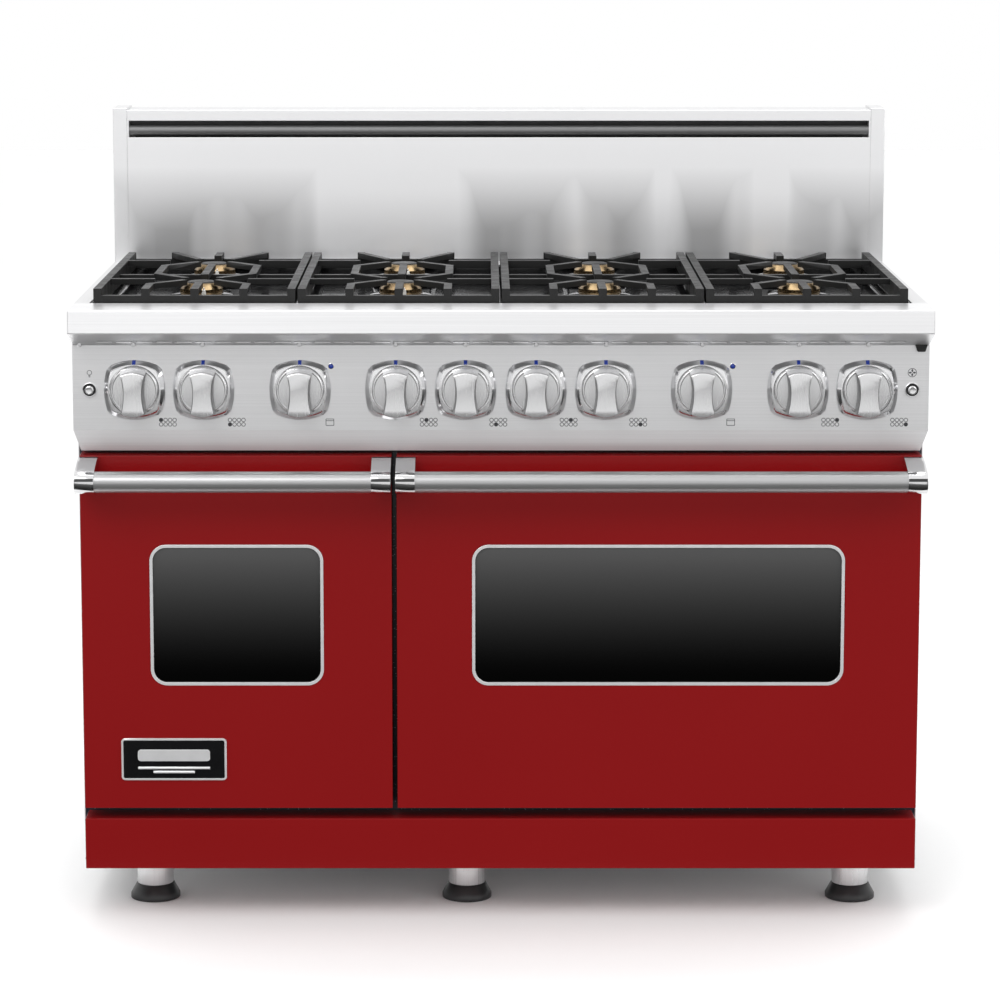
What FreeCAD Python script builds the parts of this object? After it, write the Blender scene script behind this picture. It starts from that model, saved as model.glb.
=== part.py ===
import FreeCAD, Part

import math
import os

import Sketcher

# Freestanding gas range: eight burners, two ovens, a backguard.
# Right-handed frame: X to the right, Y to the back, Z up. The origin is on the floor under the
# middle of the range. Every sub-part is drawn with y = 0 at the front plane of the oven doors,
# and its Placement then moves it to the range's own frame.

document = FreeCAD.newDocument("gas_range")
sheet = document.addObject("Spreadsheet::Sheet", "Sizes")
sheet_rows = []
pieces = []


# ---------------------------------------------------------------- sizes and expressions

class Size:
    """A number together with the spreadsheet expression that gives it."""

    def __init__(self, value, text):
        self.value = value
        self.text = text

    def __add__(self, other):
        return Size(self.value + number(other), f"({self.text} + {text(other)})")

    def __radd__(self, other):
        return Size(number(other) + self.value, f"({text(other)} + {self.text})")

    def __sub__(self, other):
        return Size(self.value - number(other), f"({self.text} - {text(other)})")

    def __rsub__(self, other):
        return Size(number(other) - self.value, f"({text(other)} - {self.text})")

    def __mul__(self, other):
        return Size(self.value * number(other), f"({self.text} * {text(other)})")

    def __rmul__(self, other):
        return self * other

    def __truediv__(self, other):
        return Size(self.value / number(other), f"({self.text} / {text(other)})")

    def __neg__(self):
        return Size(-self.value, f"(0 - {self.text})")


def number(amount):
    return amount.value if isinstance(amount, Size) else float(amount)


def text(amount):
    return amount.text if isinstance(amount, Size) else f"({float(amount)})"


def size(alias, value):
    """Writes one driving dimension to the sheet."""
    sheet_rows.append(alias)
    row = len(sheet_rows)
    sheet.set(f"A{row}", alias)
    sheet.set(f"B{row}", str(value))
    sheet.setAlias(f"B{row}", alias)
    return Size(float(value), f"Sizes.{alias}")


def span(dx, dy):
    return Size(math.hypot(number(dx), number(dy)), f"sqrt({text(dx)} ^ 2 + {text(dy)} ^ 2)")


def heading(dx, dy):
    """The direction of (dx, dy), in degrees from +X."""
    value = math.degrees(math.atan2(number(dy), number(dx)))
    return Size(value, f"atan2({text(dy)}; {text(dx)})")


def about(centre, breadth):
    return (centre - breadth / 2, centre + breadth / 2)


def inset(pair, amount):
    return (pair[0] + amount, pair[1] - amount)


# Overall
overall_width = size("overall_width", 1216)
body_depth = size("body_depth", 667)
handle_reach = size("handle_reach", 71)
deck_height = size("deck_height", 898)
sheet_metal = size("sheet_metal", 2)
part_clearance = size("part_clearance", 0.3)
running_clearance = size("running_clearance", 0.05)

# Feet, base and kick panel
foot_pad_radius = size("foot_pad_radius", 36.5)
foot_pad_height = size("foot_pad_height", 22)
foot_flange_height = size("foot_flange_height", 5.5)
foot_neck_radius = size("foot_neck_radius", 27.5)
foot_stem_radius = size("foot_stem_radius", 8)
sleeve_radius = size("leg_sleeve_radius", 27)
base_height = size("base_height", 75)
foot_setback = size("foot_setback", 118)
foot_row_pitch = size("foot_row_pitch", 482)
foot_left = size("foot_left", -512)
foot_middle = size("foot_middle", -49)
foot_right = size("foot_right", 520)
kick_height = size("kick_height", 74.5)
kick_gap = size("kick_gap", 15.5)

# Carcass and ovens
carcass_setback = size("carcass_setback", 50)
frame_metal = size("frame_metal", 3)
frame_lap = size("frame_lap", 13)
cavity_floor = size("cavity_floor", 235)
cavity_height = size("cavity_height", 410)
cavity_depth = size("cavity_depth", 476)
small_cavity_width = size("small_cavity_width", 302)
large_cavity_width = size("large_cavity_width", 643)
gasket_width = size("gasket_width", 10)
lamp_side_gap = size("lamp_side_gap", 60)
lamp_drop = size("lamp_drop", 55)
lamp_depth = size("lamp_depth", 16)
lamp_radius = size("lamp_radius", 24)
broiler_side_gap = size("broiler_side_gap", 60)
broiler_end_gap = size("broiler_end_gap", 90)
broiler_drop = size("broiler_drop", 2)
broiler_height = size("broiler_height", 12)
bake_tube_radius = size("bake_tube_radius", 11)
bake_tube_drop = size("bake_tube_drop", 26)
bake_side_gap = size("bake_side_gap", 80)
bake_end_gap = size("bake_end_gap", 40)

# Doors
door_side_inset = size("door_side_inset", 6.6)
door_split = size("door_split", 7)
small_door_width = size("small_door_width", 445.5)
door_head_gap = size("door_head_gap", 5)
door_thickness = size("door_thickness", 46)
liner_metal = size("liner_metal", 4)
liner_inset = size("liner_inset", 3)
small_window_margin = size("small_window_margin", 98.2)
large_window_margin = size("large_window_margin", 108)
window_rise = size("window_rise", 182)
window_height = size("window_height", 206)
window_corner = size("window_corner", 24)
trim_width = size("trim_width", 4.5)
trim_thickness = size("trim_thickness", 1.5)
trim_lip = size("trim_lip", 1.5)
port_inset = size("port_inset", 14)
port_corner = size("port_corner", 14)
pane_lap = size("pane_lap", 6)
glass_thickness = size("glass_thickness", 4)
hinge_setback = size("hinge_setback", 20)
hinge_rise = size("hinge_rise", 10)
hinge_inset = size("hinge_inset", 30)
hinge_pin_radius = size("hinge_pin_radius", 4)
hinge_ear_width = size("hinge_ear_width", 10)
hinge_ear_radius = size("hinge_ear_radius", 8)
hinge_side_gap = size("hinge_side_gap", 2)
hinge_lug_width = size("hinge_lug_width", 6)
hinge_lug_drop = size("hinge_lug_drop", 6)
hinge_lug_rise = size("hinge_lug_rise", 50)
hinge_web_rise = size("hinge_web_rise", 20)
hinge_web_metal = size("hinge_web_metal", 4)
notch_margin = size("notch_margin", 3)
notch_sweep = size("notch_sweep", 12)
handle_bar_radius = size("handle_bar_radius", 15)
handle_drop = size("handle_drop", 29)
bracket_width = size("bracket_width", 27.5)
bracket_wall = size("bracket_wall", 1.5)
bracket_top_depth = size("bracket_top_depth", 14)
bracket_top_drop = size("bracket_top_drop", 1)
bracket_shoulder = size("bracket_shoulder", 9)
bracket_nose = size("bracket_nose", 6)
bracket_heel = size("bracket_heel", 8)
badge_inset = size("badge_inset", 54)
badge_rise = size("badge_rise", 42)
badge_width = size("badge_width", 152)
badge_height = size("badge_height", 62)
badge_thickness = size("badge_thickness", 3)
badge_corner = size("badge_corner", 9)

# Control panel
panel_face = size("panel_face", 7)
panel_height = size("panel_height", 122)
panel_lip_height = size("panel_lip_height", 33)
panel_lip_setback = size("panel_lip_setback", 16)
panel_corner_taper = size("panel_corner_taper", 8)
panel_end_wall = size("panel_end_wall", 11)
panel_hole_margin = size("panel_hole_margin", 3)
button_hole_margin = size("button_hole_margin", 1)
panel_top_drop = size("panel_top_drop", 56)
knob_drop = size("knob_drop", 120)
knob_radius = size("knob_radius", 34.3)
knob_disc_height = size("knob_disc_height", 10.5)
knob_grip_reach = size("knob_grip_reach", 24)
knob_grip_width = size("knob_grip_width", 31)
knob_hub_radius = size("knob_hub_radius", 9)
knob_hub_depth = size("knob_hub_depth", 8)
knob_back_gap = size("knob_back_gap", 1.3)
knob_waist_bow = size("knob_waist_bow", 2.5)
knob_grip_length = size("knob_grip_length", 60)
valve_stem_radius = size("valve_stem_radius", 4)
valve_stem_reach = size("valve_stem_reach", 17)
valve_size = size("valve_size", 24)
valve_setback = size("valve_setback", 12)
burner_valve_width = size("burner_valve_width", 22)
oven_valve_width = size("oven_valve_width", 30)
bezel_width = size("bezel_width", 87)
bezel_height = size("bezel_height", 86)
bezel_corner = size("bezel_corner", 27)
bezel_thickness = size("bezel_thickness", 9)
bezel_knob_gap = size("bezel_knob_gap", 1.2)
knob_inner = size("knob_offset_inner", 50)
knob_second = size("knob_offset_second", 149)
knob_oven = size("knob_offset_oven", 285)
knob_fourth = size("knob_offset_fourth", 422)
knob_outer = size("knob_offset_outer", 520)
button_offset = size("button_offset", 584)
button_radius = size("button_radius", 6.5)
button_ring_radius = size("button_ring_radius", 10.3)
button_ring_thickness = size("button_ring_thickness", 5)
button_stem_depth = size("button_stem_depth", 10)
button_reach = size("button_reach", 7.5)

# Landing ledge, deck and backguard
ledge_crease = size("ledge_crease", 61)
ledge_overhang = size("ledge_overhang", 66)
ledge_front_height = size("ledge_front_height", 33)
ledge_back = size("ledge_back", 20)
ledge_heel = size("ledge_heel", 2)
vent_slot_setback = size("vent_slot_setback", 18)
vent_slot_width = size("vent_slot_width", 6)
vent_slot_length = size("vent_slot_length", 22.8)
vent_slot_pitch = size("vent_slot_pitch", 28)
guard_rise = size("guard_rise", 240)
guard_depth = size("guard_depth", 80)
guard_cap_width = size("guard_cap_width", 22)
guard_cap_rise = size("guard_cap_rise", 3)
guard_slot_drop = size("guard_slot_drop", 17)
guard_slot_height = size("guard_slot_height", 26)
guard_bar_radius = size("guard_bar_radius", 8.5)
guard_end_wall = size("guard_end_wall", 11)
guard_slot_inset = size("guard_slot_inset", 3)
guard_slot_depth = size("guard_slot_depth", 30)
guard_bar_rest = size("guard_bar_rest", 2)
guard_bar_setback = size("guard_bar_setback", 1)

# Cooktop
grate_width = size("grate_width", 288)
grate_gap = size("grate_gap", 3.3)
grate_front = size("grate_front", 31)
grate_depth = size("grate_depth", 509)
grate_rise = size("grate_rise", 20)
grate_bar = size("grate_bar", 11.5)
grate_rail_height = size("grate_rail_height", 14)
grate_finger_height = size("grate_finger_height", 8)
grate_post_offset = size("grate_post_offset", 70)
grate_rail_drop = size("grate_rail_drop", 10)
grate_cross_drop = size("grate_cross_drop", 8)
grate_foot_radius = size("grate_foot_radius", 4.6)
finger_end_gap = size("finger_end_gap", 4)
spine_reach = size("spine_reach", 70)
stem_reach = size("stem_reach", 61)
stem_lap = size("stem_lap", 4)
front_finger_gap = size("front_finger_gap", 48)
front_stem_gap = size("front_stem_gap", 60)
rear_finger_gap = size("rear_finger_gap", 67)
rear_tip_shift = size("rear_tip_shift", 4)
side_finger_lap = size("side_finger_lap", 2)
well_margin = size("well_margin", 3)
well_depth = size("well_depth", 18)
pan_flange_width = size("pan_flange_width", 6)
burner_row_shift = size("burner_row_shift", 5.25)
burner_crown_radius = size("burner_crown_radius", 31)
burner_port_height = size("burner_port_height", 6)
burner_crown_height = size("burner_crown_height", 14)
burner_base_radius = size("burner_base_radius", 48)
burner_base_height = size("burner_base_height", 19)
burner_neck_radius = size("burner_neck_radius", 16)
burner_neck_length = size("burner_neck_length", 22)
burner_base_flare = size("burner_base_flare", 6)
burner_collar_height = size("burner_collar_height", 4)
burner_collar_width = size("burner_collar_width", 9)
burner_cap_inset = size("burner_cap_inset", 1)
burner_cap_radius = size("burner_cap_radius", 22)
burner_cap_height = size("burner_cap_height", 2)
burner_tip_reach = size("burner_tip_reach", 13.5)
burner_tip_offset = size("burner_tip_offset", 23.5)
igniter_radius = size("igniter_radius", 3)
igniter_gap = size("igniter_gap", 4.5)
igniter_offset = size("igniter_offset", 6)
igniter_height = size("igniter_height", 9)

# Gas supply, racks and fan
manifold_radius = size("manifold_radius", 10)
manifold_setback = size("manifold_setback", 34)
manifold_end = size("manifold_end", 30)
inlet_radius = size("inlet_radius", 10.67)
inlet_height = size("inlet_height", 130)
inlet_inset = size("inlet_inset", 38)
inlet_window_width = size("inlet_window_width", 60)
inlet_window_height = size("inlet_window_height", 75)
inlet_end_gap = size("inlet_end_gap", 5)
supply_gap = size("supply_gap", 60)
elbow_radius = size("elbow_radius", 14)
socket_radius = size("socket_radius", 13)
rack_bar = size("rack_bar", 6)
rack_wire = size("rack_wire", 3)
rack_depth = size("rack_depth", 415)
rack_setback = size("rack_setback", 64)
rung_first = size("rung_first", 42)
rung_pitch = size("rung_pitch", 70)
rack_post_front = size("rack_post_front", 36)
rack_post_rear = size("rack_post_rear", 72)
rack_post_width = size("rack_post_width", 12)
rack_brace_height = size("rack_brace_height", 4.5)
rack_side_gap = size("rack_side_gap", 2)
fan_radius = size("fan_radius", 75)
fan_shaft_radius = size("fan_shaft_radius", 4)
fan_shaft_hole = size("fan_shaft_hole", 8)
fan_hub_radius = size("fan_hub_radius", 14)
fan_front_gap = size("fan_front_gap", 28)
fan_rear_gap = size("fan_rear_gap", 8)
fan_blade_width = size("fan_blade_width", 16)
fan_bore_depth = size("fan_bore_depth", 24)
fan_shaft_depth = size("fan_shaft_depth", 22)
fan_cover_size = size("fan_cover_size", 255)
fan_cover_depth = size("fan_cover_depth", 38)
cover_slot_length = size("cover_slot_length", 120)
cover_slot_height = size("cover_slot_height", 6)
cover_slot_pitch = size("cover_slot_pitch", 12.75)
motor_length = size("motor_length", 62)
motor_radius = size("motor_radius", 42)
motor_shaft_lap = size("motor_shaft_lap", 20)
document.recompute()

# Counts, and the one pitch that only sets a count
rung_count = 5
fan_blade_count = 6
cover_slot_count = 9
rack_wire_pitch = 26

# Levels and places that follow from the sizes
half_width = overall_width / 2
across = (-half_width, half_width)
door_plane = (handle_reach - body_depth) / 2
back_plane = body_depth
deck_under = deck_height - sheet_metal
panel_top = deck_height - panel_top_drop
panel_crease = panel_top - panel_height
panel_bottom = panel_crease - panel_lip_height
knob_z = deck_height - knob_drop
kick_top = base_height + kick_height
door_bottom = kick_top + kick_gap
door_top = panel_bottom - door_head_gap
frame_top = panel_bottom + frame_lap
hinge_z = door_bottom + hinge_rise
carcass_back = carcass_setback + frame_metal
doors_across = (door_side_inset - half_width, half_width - door_side_inset)
small_door = (doors_across[0], doors_across[0] + small_door_width)
large_door = (small_door[1] + door_split, doors_across[1])
guard_front = back_plane - guard_depth
inlet_x = half_width - inlet_inset
panel_y = -panel_face
stem_front = panel_y - valve_stem_reach


# ---------------------------------------------------------------- building blocks

TURN_TO = {
    "x": FreeCAD.Rotation(FreeCAD.Vector(0, 1, 0), 90),
    "y": FreeCAD.Rotation(FreeCAD.Vector(1, 0, 0), -90),
    "z": FreeCAD.Rotation(),
}
# The origin plane that each axis pierces, and which way the plane's normal points along it.
PLANE_OF = {"x": ("YZ_Plane", 1), "y": ("XZ_Plane", -1), "z": ("XY_Plane", 1)}


def bind(item, path, amount):
    item.setExpression(path, text(amount))


def set_place(item, x, y, z):
    bind(item, "Placement.Base.x", x)
    bind(item, "Placement.Base.y", y)
    bind(item, "Placement.Base.z", z)


def block(name, x, y, z):
    """A rectangular block between a (low, high) pair on each axis."""
    item = document.addObject("Part::Box", name)
    bind(item, "Length", x[1] - x[0])
    bind(item, "Width", y[1] - y[0])
    bind(item, "Height", z[1] - z[0])
    set_place(item, x[0], y[0], z[0])
    return item


def rod(name, axis, along, centre, radius):
    """A cylinder along an axis; centre gives its place on the other two axes, in X, Y, Z order."""
    item = document.addObject("Part::Cylinder", name)
    item.Placement = FreeCAD.Placement(FreeCAD.Vector(), TURN_TO[axis])
    bind(item, "Radius", radius)
    bind(item, "Height", along[1] - along[0])
    place = list(centre)
    place.insert("xyz".index(axis), along[0])
    set_place(item, *place)
    return item


def cone(name, along, centre, low_radius, high_radius):
    item = document.addObject("Part::Cone", name)
    bind(item, "Radius1", low_radius)
    bind(item, "Radius2", high_radius)
    bind(item, "Height", along[1] - along[0])
    set_place(item, centre[0], centre[1], along[0])
    return item


def bar(name, start, end, breadth, z):
    """A straight bar seen from above, from start to end, centred on the line between them."""
    dx = end[0] - start[0]
    dy = end[1] - start[1]
    length = span(dx, dy)
    item = document.addObject("Part::Box", name)
    bind(item, "Length", length)
    bind(item, "Width", breadth)
    bind(item, "Height", z[1] - z[0])
    item.Placement.Rotation = FreeCAD.Rotation(FreeCAD.Vector(0, 0, 1), 1)
    bind(item, "Placement.Rotation.Angle", heading(dx, dy))
    set_place(item, start[0] + breadth / 2 * dy / length, start[1] - breadth / 2 * dx / length, z[0])
    return item


def fuse(name, items):
    item = document.addObject("Part::MultiFuse", name)
    item.Shapes = items
    return item


def group(name, items):
    item = document.addObject("Part::Compound", name)
    item.Links = items
    return item


def cut(name, base, tools):
    item = document.addObject("Part::Cut", name)
    item.Base = base
    item.Tool = tools[0] if len(tools) == 1 else group(name + "_tools", tools)
    return item


def piece(label, *solids):
    """Names a finished sub-part and places it in the range's own frame."""
    placed = ("PartDesign::Body", "Part::Cut", "Part::MultiFuse")
    if len(solids) == 1 and solids[0].TypeId in placed:
        item = solids[0]
    else:
        item = group(label + "_group", list(solids))
    item.Label = label
    bind(item, "Placement.Base.y", door_plane)
    pieces.append(item)
    return item


def hold(sketch, geometry, point, kind, amount):
    """Binds one point of a sketch to its distance from the origin."""
    index = sketch.addConstraint(
        Sketcher.Constraint(kind, -1, 1, geometry, point, number(amount)))
    sketch.setExpression(f"Constraints[{index}]", text(amount))


def polygon(sketch, points):
    first = sketch.GeometryCount
    corners = [FreeCAD.Vector(number(u), number(v), 0) for u, v in points]
    count = len(corners)
    for index in range(count):
        sketch.addGeometry(Part.LineSegment(corners[index], corners[(index + 1) % count]))
    for index in range(count):
        following = first + (index + 1) % count
        sketch.addConstraint(Sketcher.Constraint("Coincident", first + index, 2, following, 1))
    for index, (u, v) in enumerate(points):
        hold(sketch, first + index, 1, "DistanceX", u)
        hold(sketch, first + index, 1, "DistanceY", v)


def rectangle(sketch, u, v):
    polygon(sketch, [(u[0], v[0]), (u[1], v[0]), (u[1], v[1]), (u[0], v[1])])


def circle(sketch, u, v, radius):
    normal = FreeCAD.Vector(0, 0, 1)
    centre = FreeCAD.Vector(number(u), number(v), 0)
    ring = sketch.addGeometry(Part.Circle(centre, normal, number(radius)))
    hold(sketch, ring, 3, "DistanceX", u)
    hold(sketch, ring, 3, "DistanceY", v)
    index = sketch.addConstraint(Sketcher.Constraint("Radius", ring, number(radius)))
    sketch.setExpression(f"Constraints[{index}]", text(radius))


def rounded_rectangle(sketch, u, v, corner):
    """Four sides joined by four quarter circles, counter-clockwise from the lower side."""
    low_u, high_u = number(u[0]), number(u[1])
    low_v, high_v = number(v[0]), number(v[1])
    bend = number(corner)
    side_ends = [
        ((low_u + bend, low_v), (high_u - bend, low_v)),
        ((high_u, low_v + bend), (high_u, high_v - bend)),
        ((high_u - bend, high_v), (low_u + bend, high_v)),
        ((low_u, high_v - bend), (low_u, low_v + bend)),
    ]
    centres = [
        (high_u - bend, low_v + bend),
        (high_u - bend, high_v - bend),
        (low_u + bend, high_v - bend),
        (low_u + bend, low_v + bend),
    ]
    sides = []
    arcs = []
    for start, end in side_ends:
        line = Part.LineSegment(FreeCAD.Vector(*start, 0), FreeCAD.Vector(*end, 0))
        sides.append(sketch.addGeometry(line))
    for index, centre in enumerate(centres):
        whole = Part.Circle(FreeCAD.Vector(*centre, 0), FreeCAD.Vector(0, 0, 1), bend)
        start_angle = (index - 1) * math.pi / 2
        arcs.append(sketch.addGeometry(Part.ArcOfCircle(whole, start_angle, start_angle + math.pi / 2)))
    for index in range(4):
        following = sides[(index + 1) % 4]
        sketch.addConstraint(Sketcher.Constraint("Tangent", sides[index], 2, arcs[index], 1))
        sketch.addConstraint(Sketcher.Constraint("Tangent", arcs[index], 2, following, 1))
    for index, kind in enumerate(("Horizontal", "Vertical", "Horizontal", "Vertical")):
        sketch.addConstraint(Sketcher.Constraint(kind, sides[index]))
    for index in range(1, 4):
        sketch.addConstraint(Sketcher.Constraint("Equal", arcs[0], arcs[index]))
    index = sketch.addConstraint(Sketcher.Constraint("Radius", arcs[0], bend))
    sketch.setExpression(f"Constraints[{index}]", text(corner))
    hold(sketch, sides[0], 1, "DistanceY", v[0])
    hold(sketch, sides[2], 1, "DistanceY", v[1])
    hold(sketch, sides[3], 1, "DistanceX", u[0])
    hold(sketch, sides[1], 1, "DistanceX", u[1])


def feature(body, kind, name, axis, level, length, outlines):
    """A Pad or Pocket of outlines drawn on the plane across an axis."""
    plane_role, normal = PLANE_OF[axis]
    sketch = body.newObject("Sketcher::SketchObject", name + "_sketch")
    plane = [item for item in body.Origin.OriginFeatures if item.Role == plane_role][0]
    sketch.AttachmentSupport = (plane, [""])
    sketch.MapMode = "FlatFace"
    bind(sketch, "AttachmentOffset.Base.z", level * normal)
    for draw, *measures in outlines:
        draw(sketch, *measures)
    sketch.Visibility = False
    made = body.newObject(kind, name)
    made.Profile = sketch
    bind(made, "Length", length)
    return made


def pad(body, name, axis, extent, *outlines):
    """Adds material between the extent's two levels along an axis."""
    start = extent[1] if PLANE_OF[axis][1] < 0 else extent[0]
    return feature(body, "PartDesign::Pad", name, axis, start, extent[1] - extent[0], outlines)


def pocket(body, name, axis, extent, *outlines):
    """Removes material between the extent's two levels along an axis."""
    start = extent[0] if PLANE_OF[axis][1] < 0 else extent[1]
    return feature(body, "PartDesign::Pocket", name, axis, start, extent[1] - extent[0], outlines)


def new_body(name):
    return document.addObject("PartDesign::Body", name + "_body")


# ---------------------------------------------------------------- base and feet

def make_feet():
    """Six chromed sleeves under the base, and the screwed feet that slide down out of them."""
    sleeves = []
    feet = []
    stem_top = base_height - part_clearance
    rows = (foot_setback, foot_setback + foot_row_pitch)
    for column, x in enumerate((foot_left, foot_middle, foot_right)):
        for row, y in enumerate(rows):
            tag = f"{column}{row}"
            tube = rod("sleeve_tube" + tag, "z", (foot_pad_height + part_clearance, base_height), (x, y),
                       sleeve_radius)
            bore = rod("sleeve_bore" + tag, "z", (foot_pad_height, base_height), (x, y),
                       foot_stem_radius + running_clearance)
            sleeves.append(cut("sleeve" + tag, tube, [bore]))
            flange = rod("foot_flange" + tag, "z", (0, foot_flange_height), (x, y), foot_pad_radius)
            neck = cone("foot_neck" + tag, (foot_flange_height, foot_pad_height), (x, y), foot_pad_radius,
                        foot_neck_radius)
            stem = rod("foot_stem" + tag, "z", (foot_flange_height, stem_top), (x, y), foot_stem_radius)
            feet.append(fuse("foot" + tag, [flange, neck, stem]))
    piece("leg_sleeves", *sleeves)
    piece("levelling_feet", *feet)


def make_kick_panel():
    shell = block("kick_shell", doors_across, (0, carcass_setback), (base_height, kick_top))
    hollow_y = (sheet_metal, carcass_setback + sheet_metal)
    hollow = block("kick_hollow", inset(doors_across, sheet_metal), hollow_y,
                   inset((base_height, kick_top), sheet_metal))
    piece("kick_panel", cut("kick", shell, [hollow]))


# ---------------------------------------------------------------- carcass

small_window = inset(small_door, small_window_margin)
large_window = inset(large_door, large_window_margin)
small_cavity = about((small_window[0] + small_window[1]) / 2, small_cavity_width)
large_cavity = about((large_window[0] + large_window[1]) / 2, large_cavity_width)
cavity_z = (cavity_floor, cavity_floor + cavity_height)
cavity_y = (carcass_back, carcass_back + cavity_depth)
hinge_places = [edge for door in (small_door, large_door) for edge in inset(door, hinge_inset)]
fan_x = (large_cavity[0] + large_cavity[1]) / 2
fan_z = (cavity_z[0] + cavity_z[1]) / 2


def make_carcass():
    """Base pan, side and back sheets, and the front frame that carries the doors' hinge ears."""
    base_top = base_height + sheet_metal
    inner = inset(across, sheet_metal)
    base = new_body("base_pan")
    pad(base, "base_sheet", "z", (base_height, base_top), (rectangle, across, (carcass_setback, back_plane)))
    piece("base_pan", base)

    upright = (base_top, deck_under)
    left = block("side_left", (across[0], inner[0]), (carcass_setback, back_plane), upright)
    right = block("side_right", (inner[1], across[1]), (carcass_setback, back_plane), upright)
    piece("side_panels", left, right)

    back = new_body("back_panel")
    pad(back, "back_sheet", "y", (back_plane - sheet_metal, back_plane), (rectangle, inner, upright),
        (rectangle, about(inlet_x, inlet_window_width), about(inlet_height, inlet_window_height)))
    piece("back_panel", back)

    sheet_z = (base_top, frame_top)
    plate = new_body("front_frame")
    pad(plate, "frame_sheet", "y", (carcass_setback, carcass_back), (rectangle, inner, sheet_z),
        (rectangle, small_cavity, cavity_z), (rectangle, large_cavity, cavity_z))
    ears = []
    bores = []
    for index, x in enumerate(hinge_places):
        ear_x = about(x, hinge_ear_width)
        ears.append(block(f"ear_arm{index}", ear_x, (hinge_setback, carcass_setback),
                          about(hinge_z, hinge_ear_radius * 2)))
        ears.append(rod(f"ear_nose{index}", "x", ear_x, (hinge_setback, hinge_z), hinge_ear_radius))
        bores.append(rod(f"ear_bore{index}", "x", ear_x, (hinge_setback, hinge_z),
                         hinge_pin_radius + running_clearance))
    frame = fuse("frame_with_ears", [plate] + ears)
    piece("front_frame", cut("frame_bored", frame, bores))


def rung_z(level):
    return cavity_floor + rung_first + rung_pitch * level


def make_oven_liners():
    """The porcelain boxes, the seals round their mouths and the ladder guides on their side walls."""
    liners = []
    gaskets = []
    guides = []
    lamps = []
    for tag, cavity in (("small", small_cavity), ("large", large_cavity)):
        wall = sheet_metal
        outer = block(tag + "_liner_outer", inset(cavity, -wall), (cavity_y[0], cavity_y[1] + wall),
                      inset(cavity_z, -wall))
        inner = block(tag + "_liner_inner", cavity, (cavity_y[0] - wall, cavity_y[1]), cavity_z)
        tools = [inner]
        if tag == "large":
            rear_y = (cavity_y[1] - wall, cavity_y[1] + wall * 2)
            tools.append(rod("fan_shaft_hole", "y", rear_y, (fan_x, fan_z), fan_shaft_hole))
        liners.append(cut(tag + "_liner", outer, tools))

        seal = new_body(tag + "_gasket")
        outside = gasket_width * 2
        pad(seal, tag + "_gasket_ring", "y", (door_thickness + part_clearance, carcass_setback),
            (rounded_rectangle, inset(cavity, -outside), inset(cavity_z, -outside), outside),
            (rounded_rectangle, inset(cavity, -gasket_width), inset(cavity_z, -gasket_width), gasket_width))
        gaskets.append(seal)

        strip = rack_side_gap - part_clearance
        rack_y = (rack_setback, rack_setback + rack_depth)
        for side, rung_x, post_x in (
            ("left", (cavity[0], cavity[0] + rack_bar), (cavity[0], cavity[0] + strip)),
            ("right", (cavity[1] - rack_bar, cavity[1]), (cavity[1] - strip, cavity[1])),
        ):
            parts = []
            for end, y in (("front", cavity_y[0] + rack_post_front), ("rear", cavity_y[1] - rack_post_rear)):
                parts.append(block(f"{tag}_{side}_{end}_post", post_x, about(y, rack_post_width),
                                   (cavity_floor, rung_z(rung_count) + rack_bar)))
            for level in range(rung_count):
                low = rung_z(level)
                parts.append(block(f"{tag}_{side}_rung{level}", rung_x, rack_y, (low, low + rack_wire)))
            guides.append(fuse(f"{tag}_{side}_guide", parts))

        lamp_centre = (cavity[1] - lamp_side_gap, cavity_z[1] - lamp_drop)
        lamps.append(rod(tag + "_lamp", "y", (cavity_y[1] - lamp_depth, cavity_y[1]), lamp_centre, lamp_radius))
    piece("oven_liners", *liners)
    piece("door_gaskets", *gaskets)
    piece("rack_guides", *guides)
    piece("oven_lamps", *lamps)


def make_rack(label, cavity, level):
    """A wire rack: four edge bars and the wires between them, lying on one pair of rungs."""
    x = inset(cavity, rack_side_gap)
    y = (rack_setback, rack_setback + rack_depth)
    low = rung_z(level) + rack_wire + part_clearance
    edge_z = (low, low + rack_bar)
    wire_z = (low + rack_wire, low + rack_bar)
    parts = [
        block(label + "_front", x, (y[0], y[0] + rack_bar), edge_z),
        block(label + "_rear", x, (y[1] - rack_bar, y[1]), edge_z),
        block(label + "_left", (x[0], x[0] + rack_bar), y, edge_z),
        block(label + "_right", (x[1] - rack_bar, x[1]), y, edge_z),
    ]
    wire_count = int(round(number(x[1] - x[0]) / rack_wire_pitch))
    pitch = (x[1] - x[0]) / wire_count
    for index in range(1, wire_count):
        wire_x = about(x[0] + pitch * index, rack_wire)
        parts.append(block(f"{label}_wire{index}", wire_x, y, wire_z))
    middle = (y[0] + y[1]) / 2
    parts.append(block(label + "_brace", x, about(middle, rack_bar), (low, low + rack_brace_height)))
    piece(label, fuse(label + "_wires", parts))


def make_oven_burners():
    """A broil burner under each cavity's roof and a bake burner under its floor."""
    burners = []
    for tag, cavity in (("small", small_cavity), ("large", large_cavity)):
        broiler_top = cavity_z[1] - broiler_drop
        broiler_z = (broiler_top - broiler_height, broiler_top)
        burners.append(block(tag + "_broiler", inset(cavity, broiler_side_gap),
                             inset(cavity_y, broiler_end_gap), broiler_z))
        tube_z = cavity_floor - bake_tube_drop
        for index, tube_x in enumerate(inset(cavity, bake_side_gap)):
            burners.append(rod(f"{tag}_bake_tube{index}", "y", inset(cavity_y, bake_end_gap), (tube_x, tube_z),
                               bake_tube_radius))
    piece("oven_burners", *burners)


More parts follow.
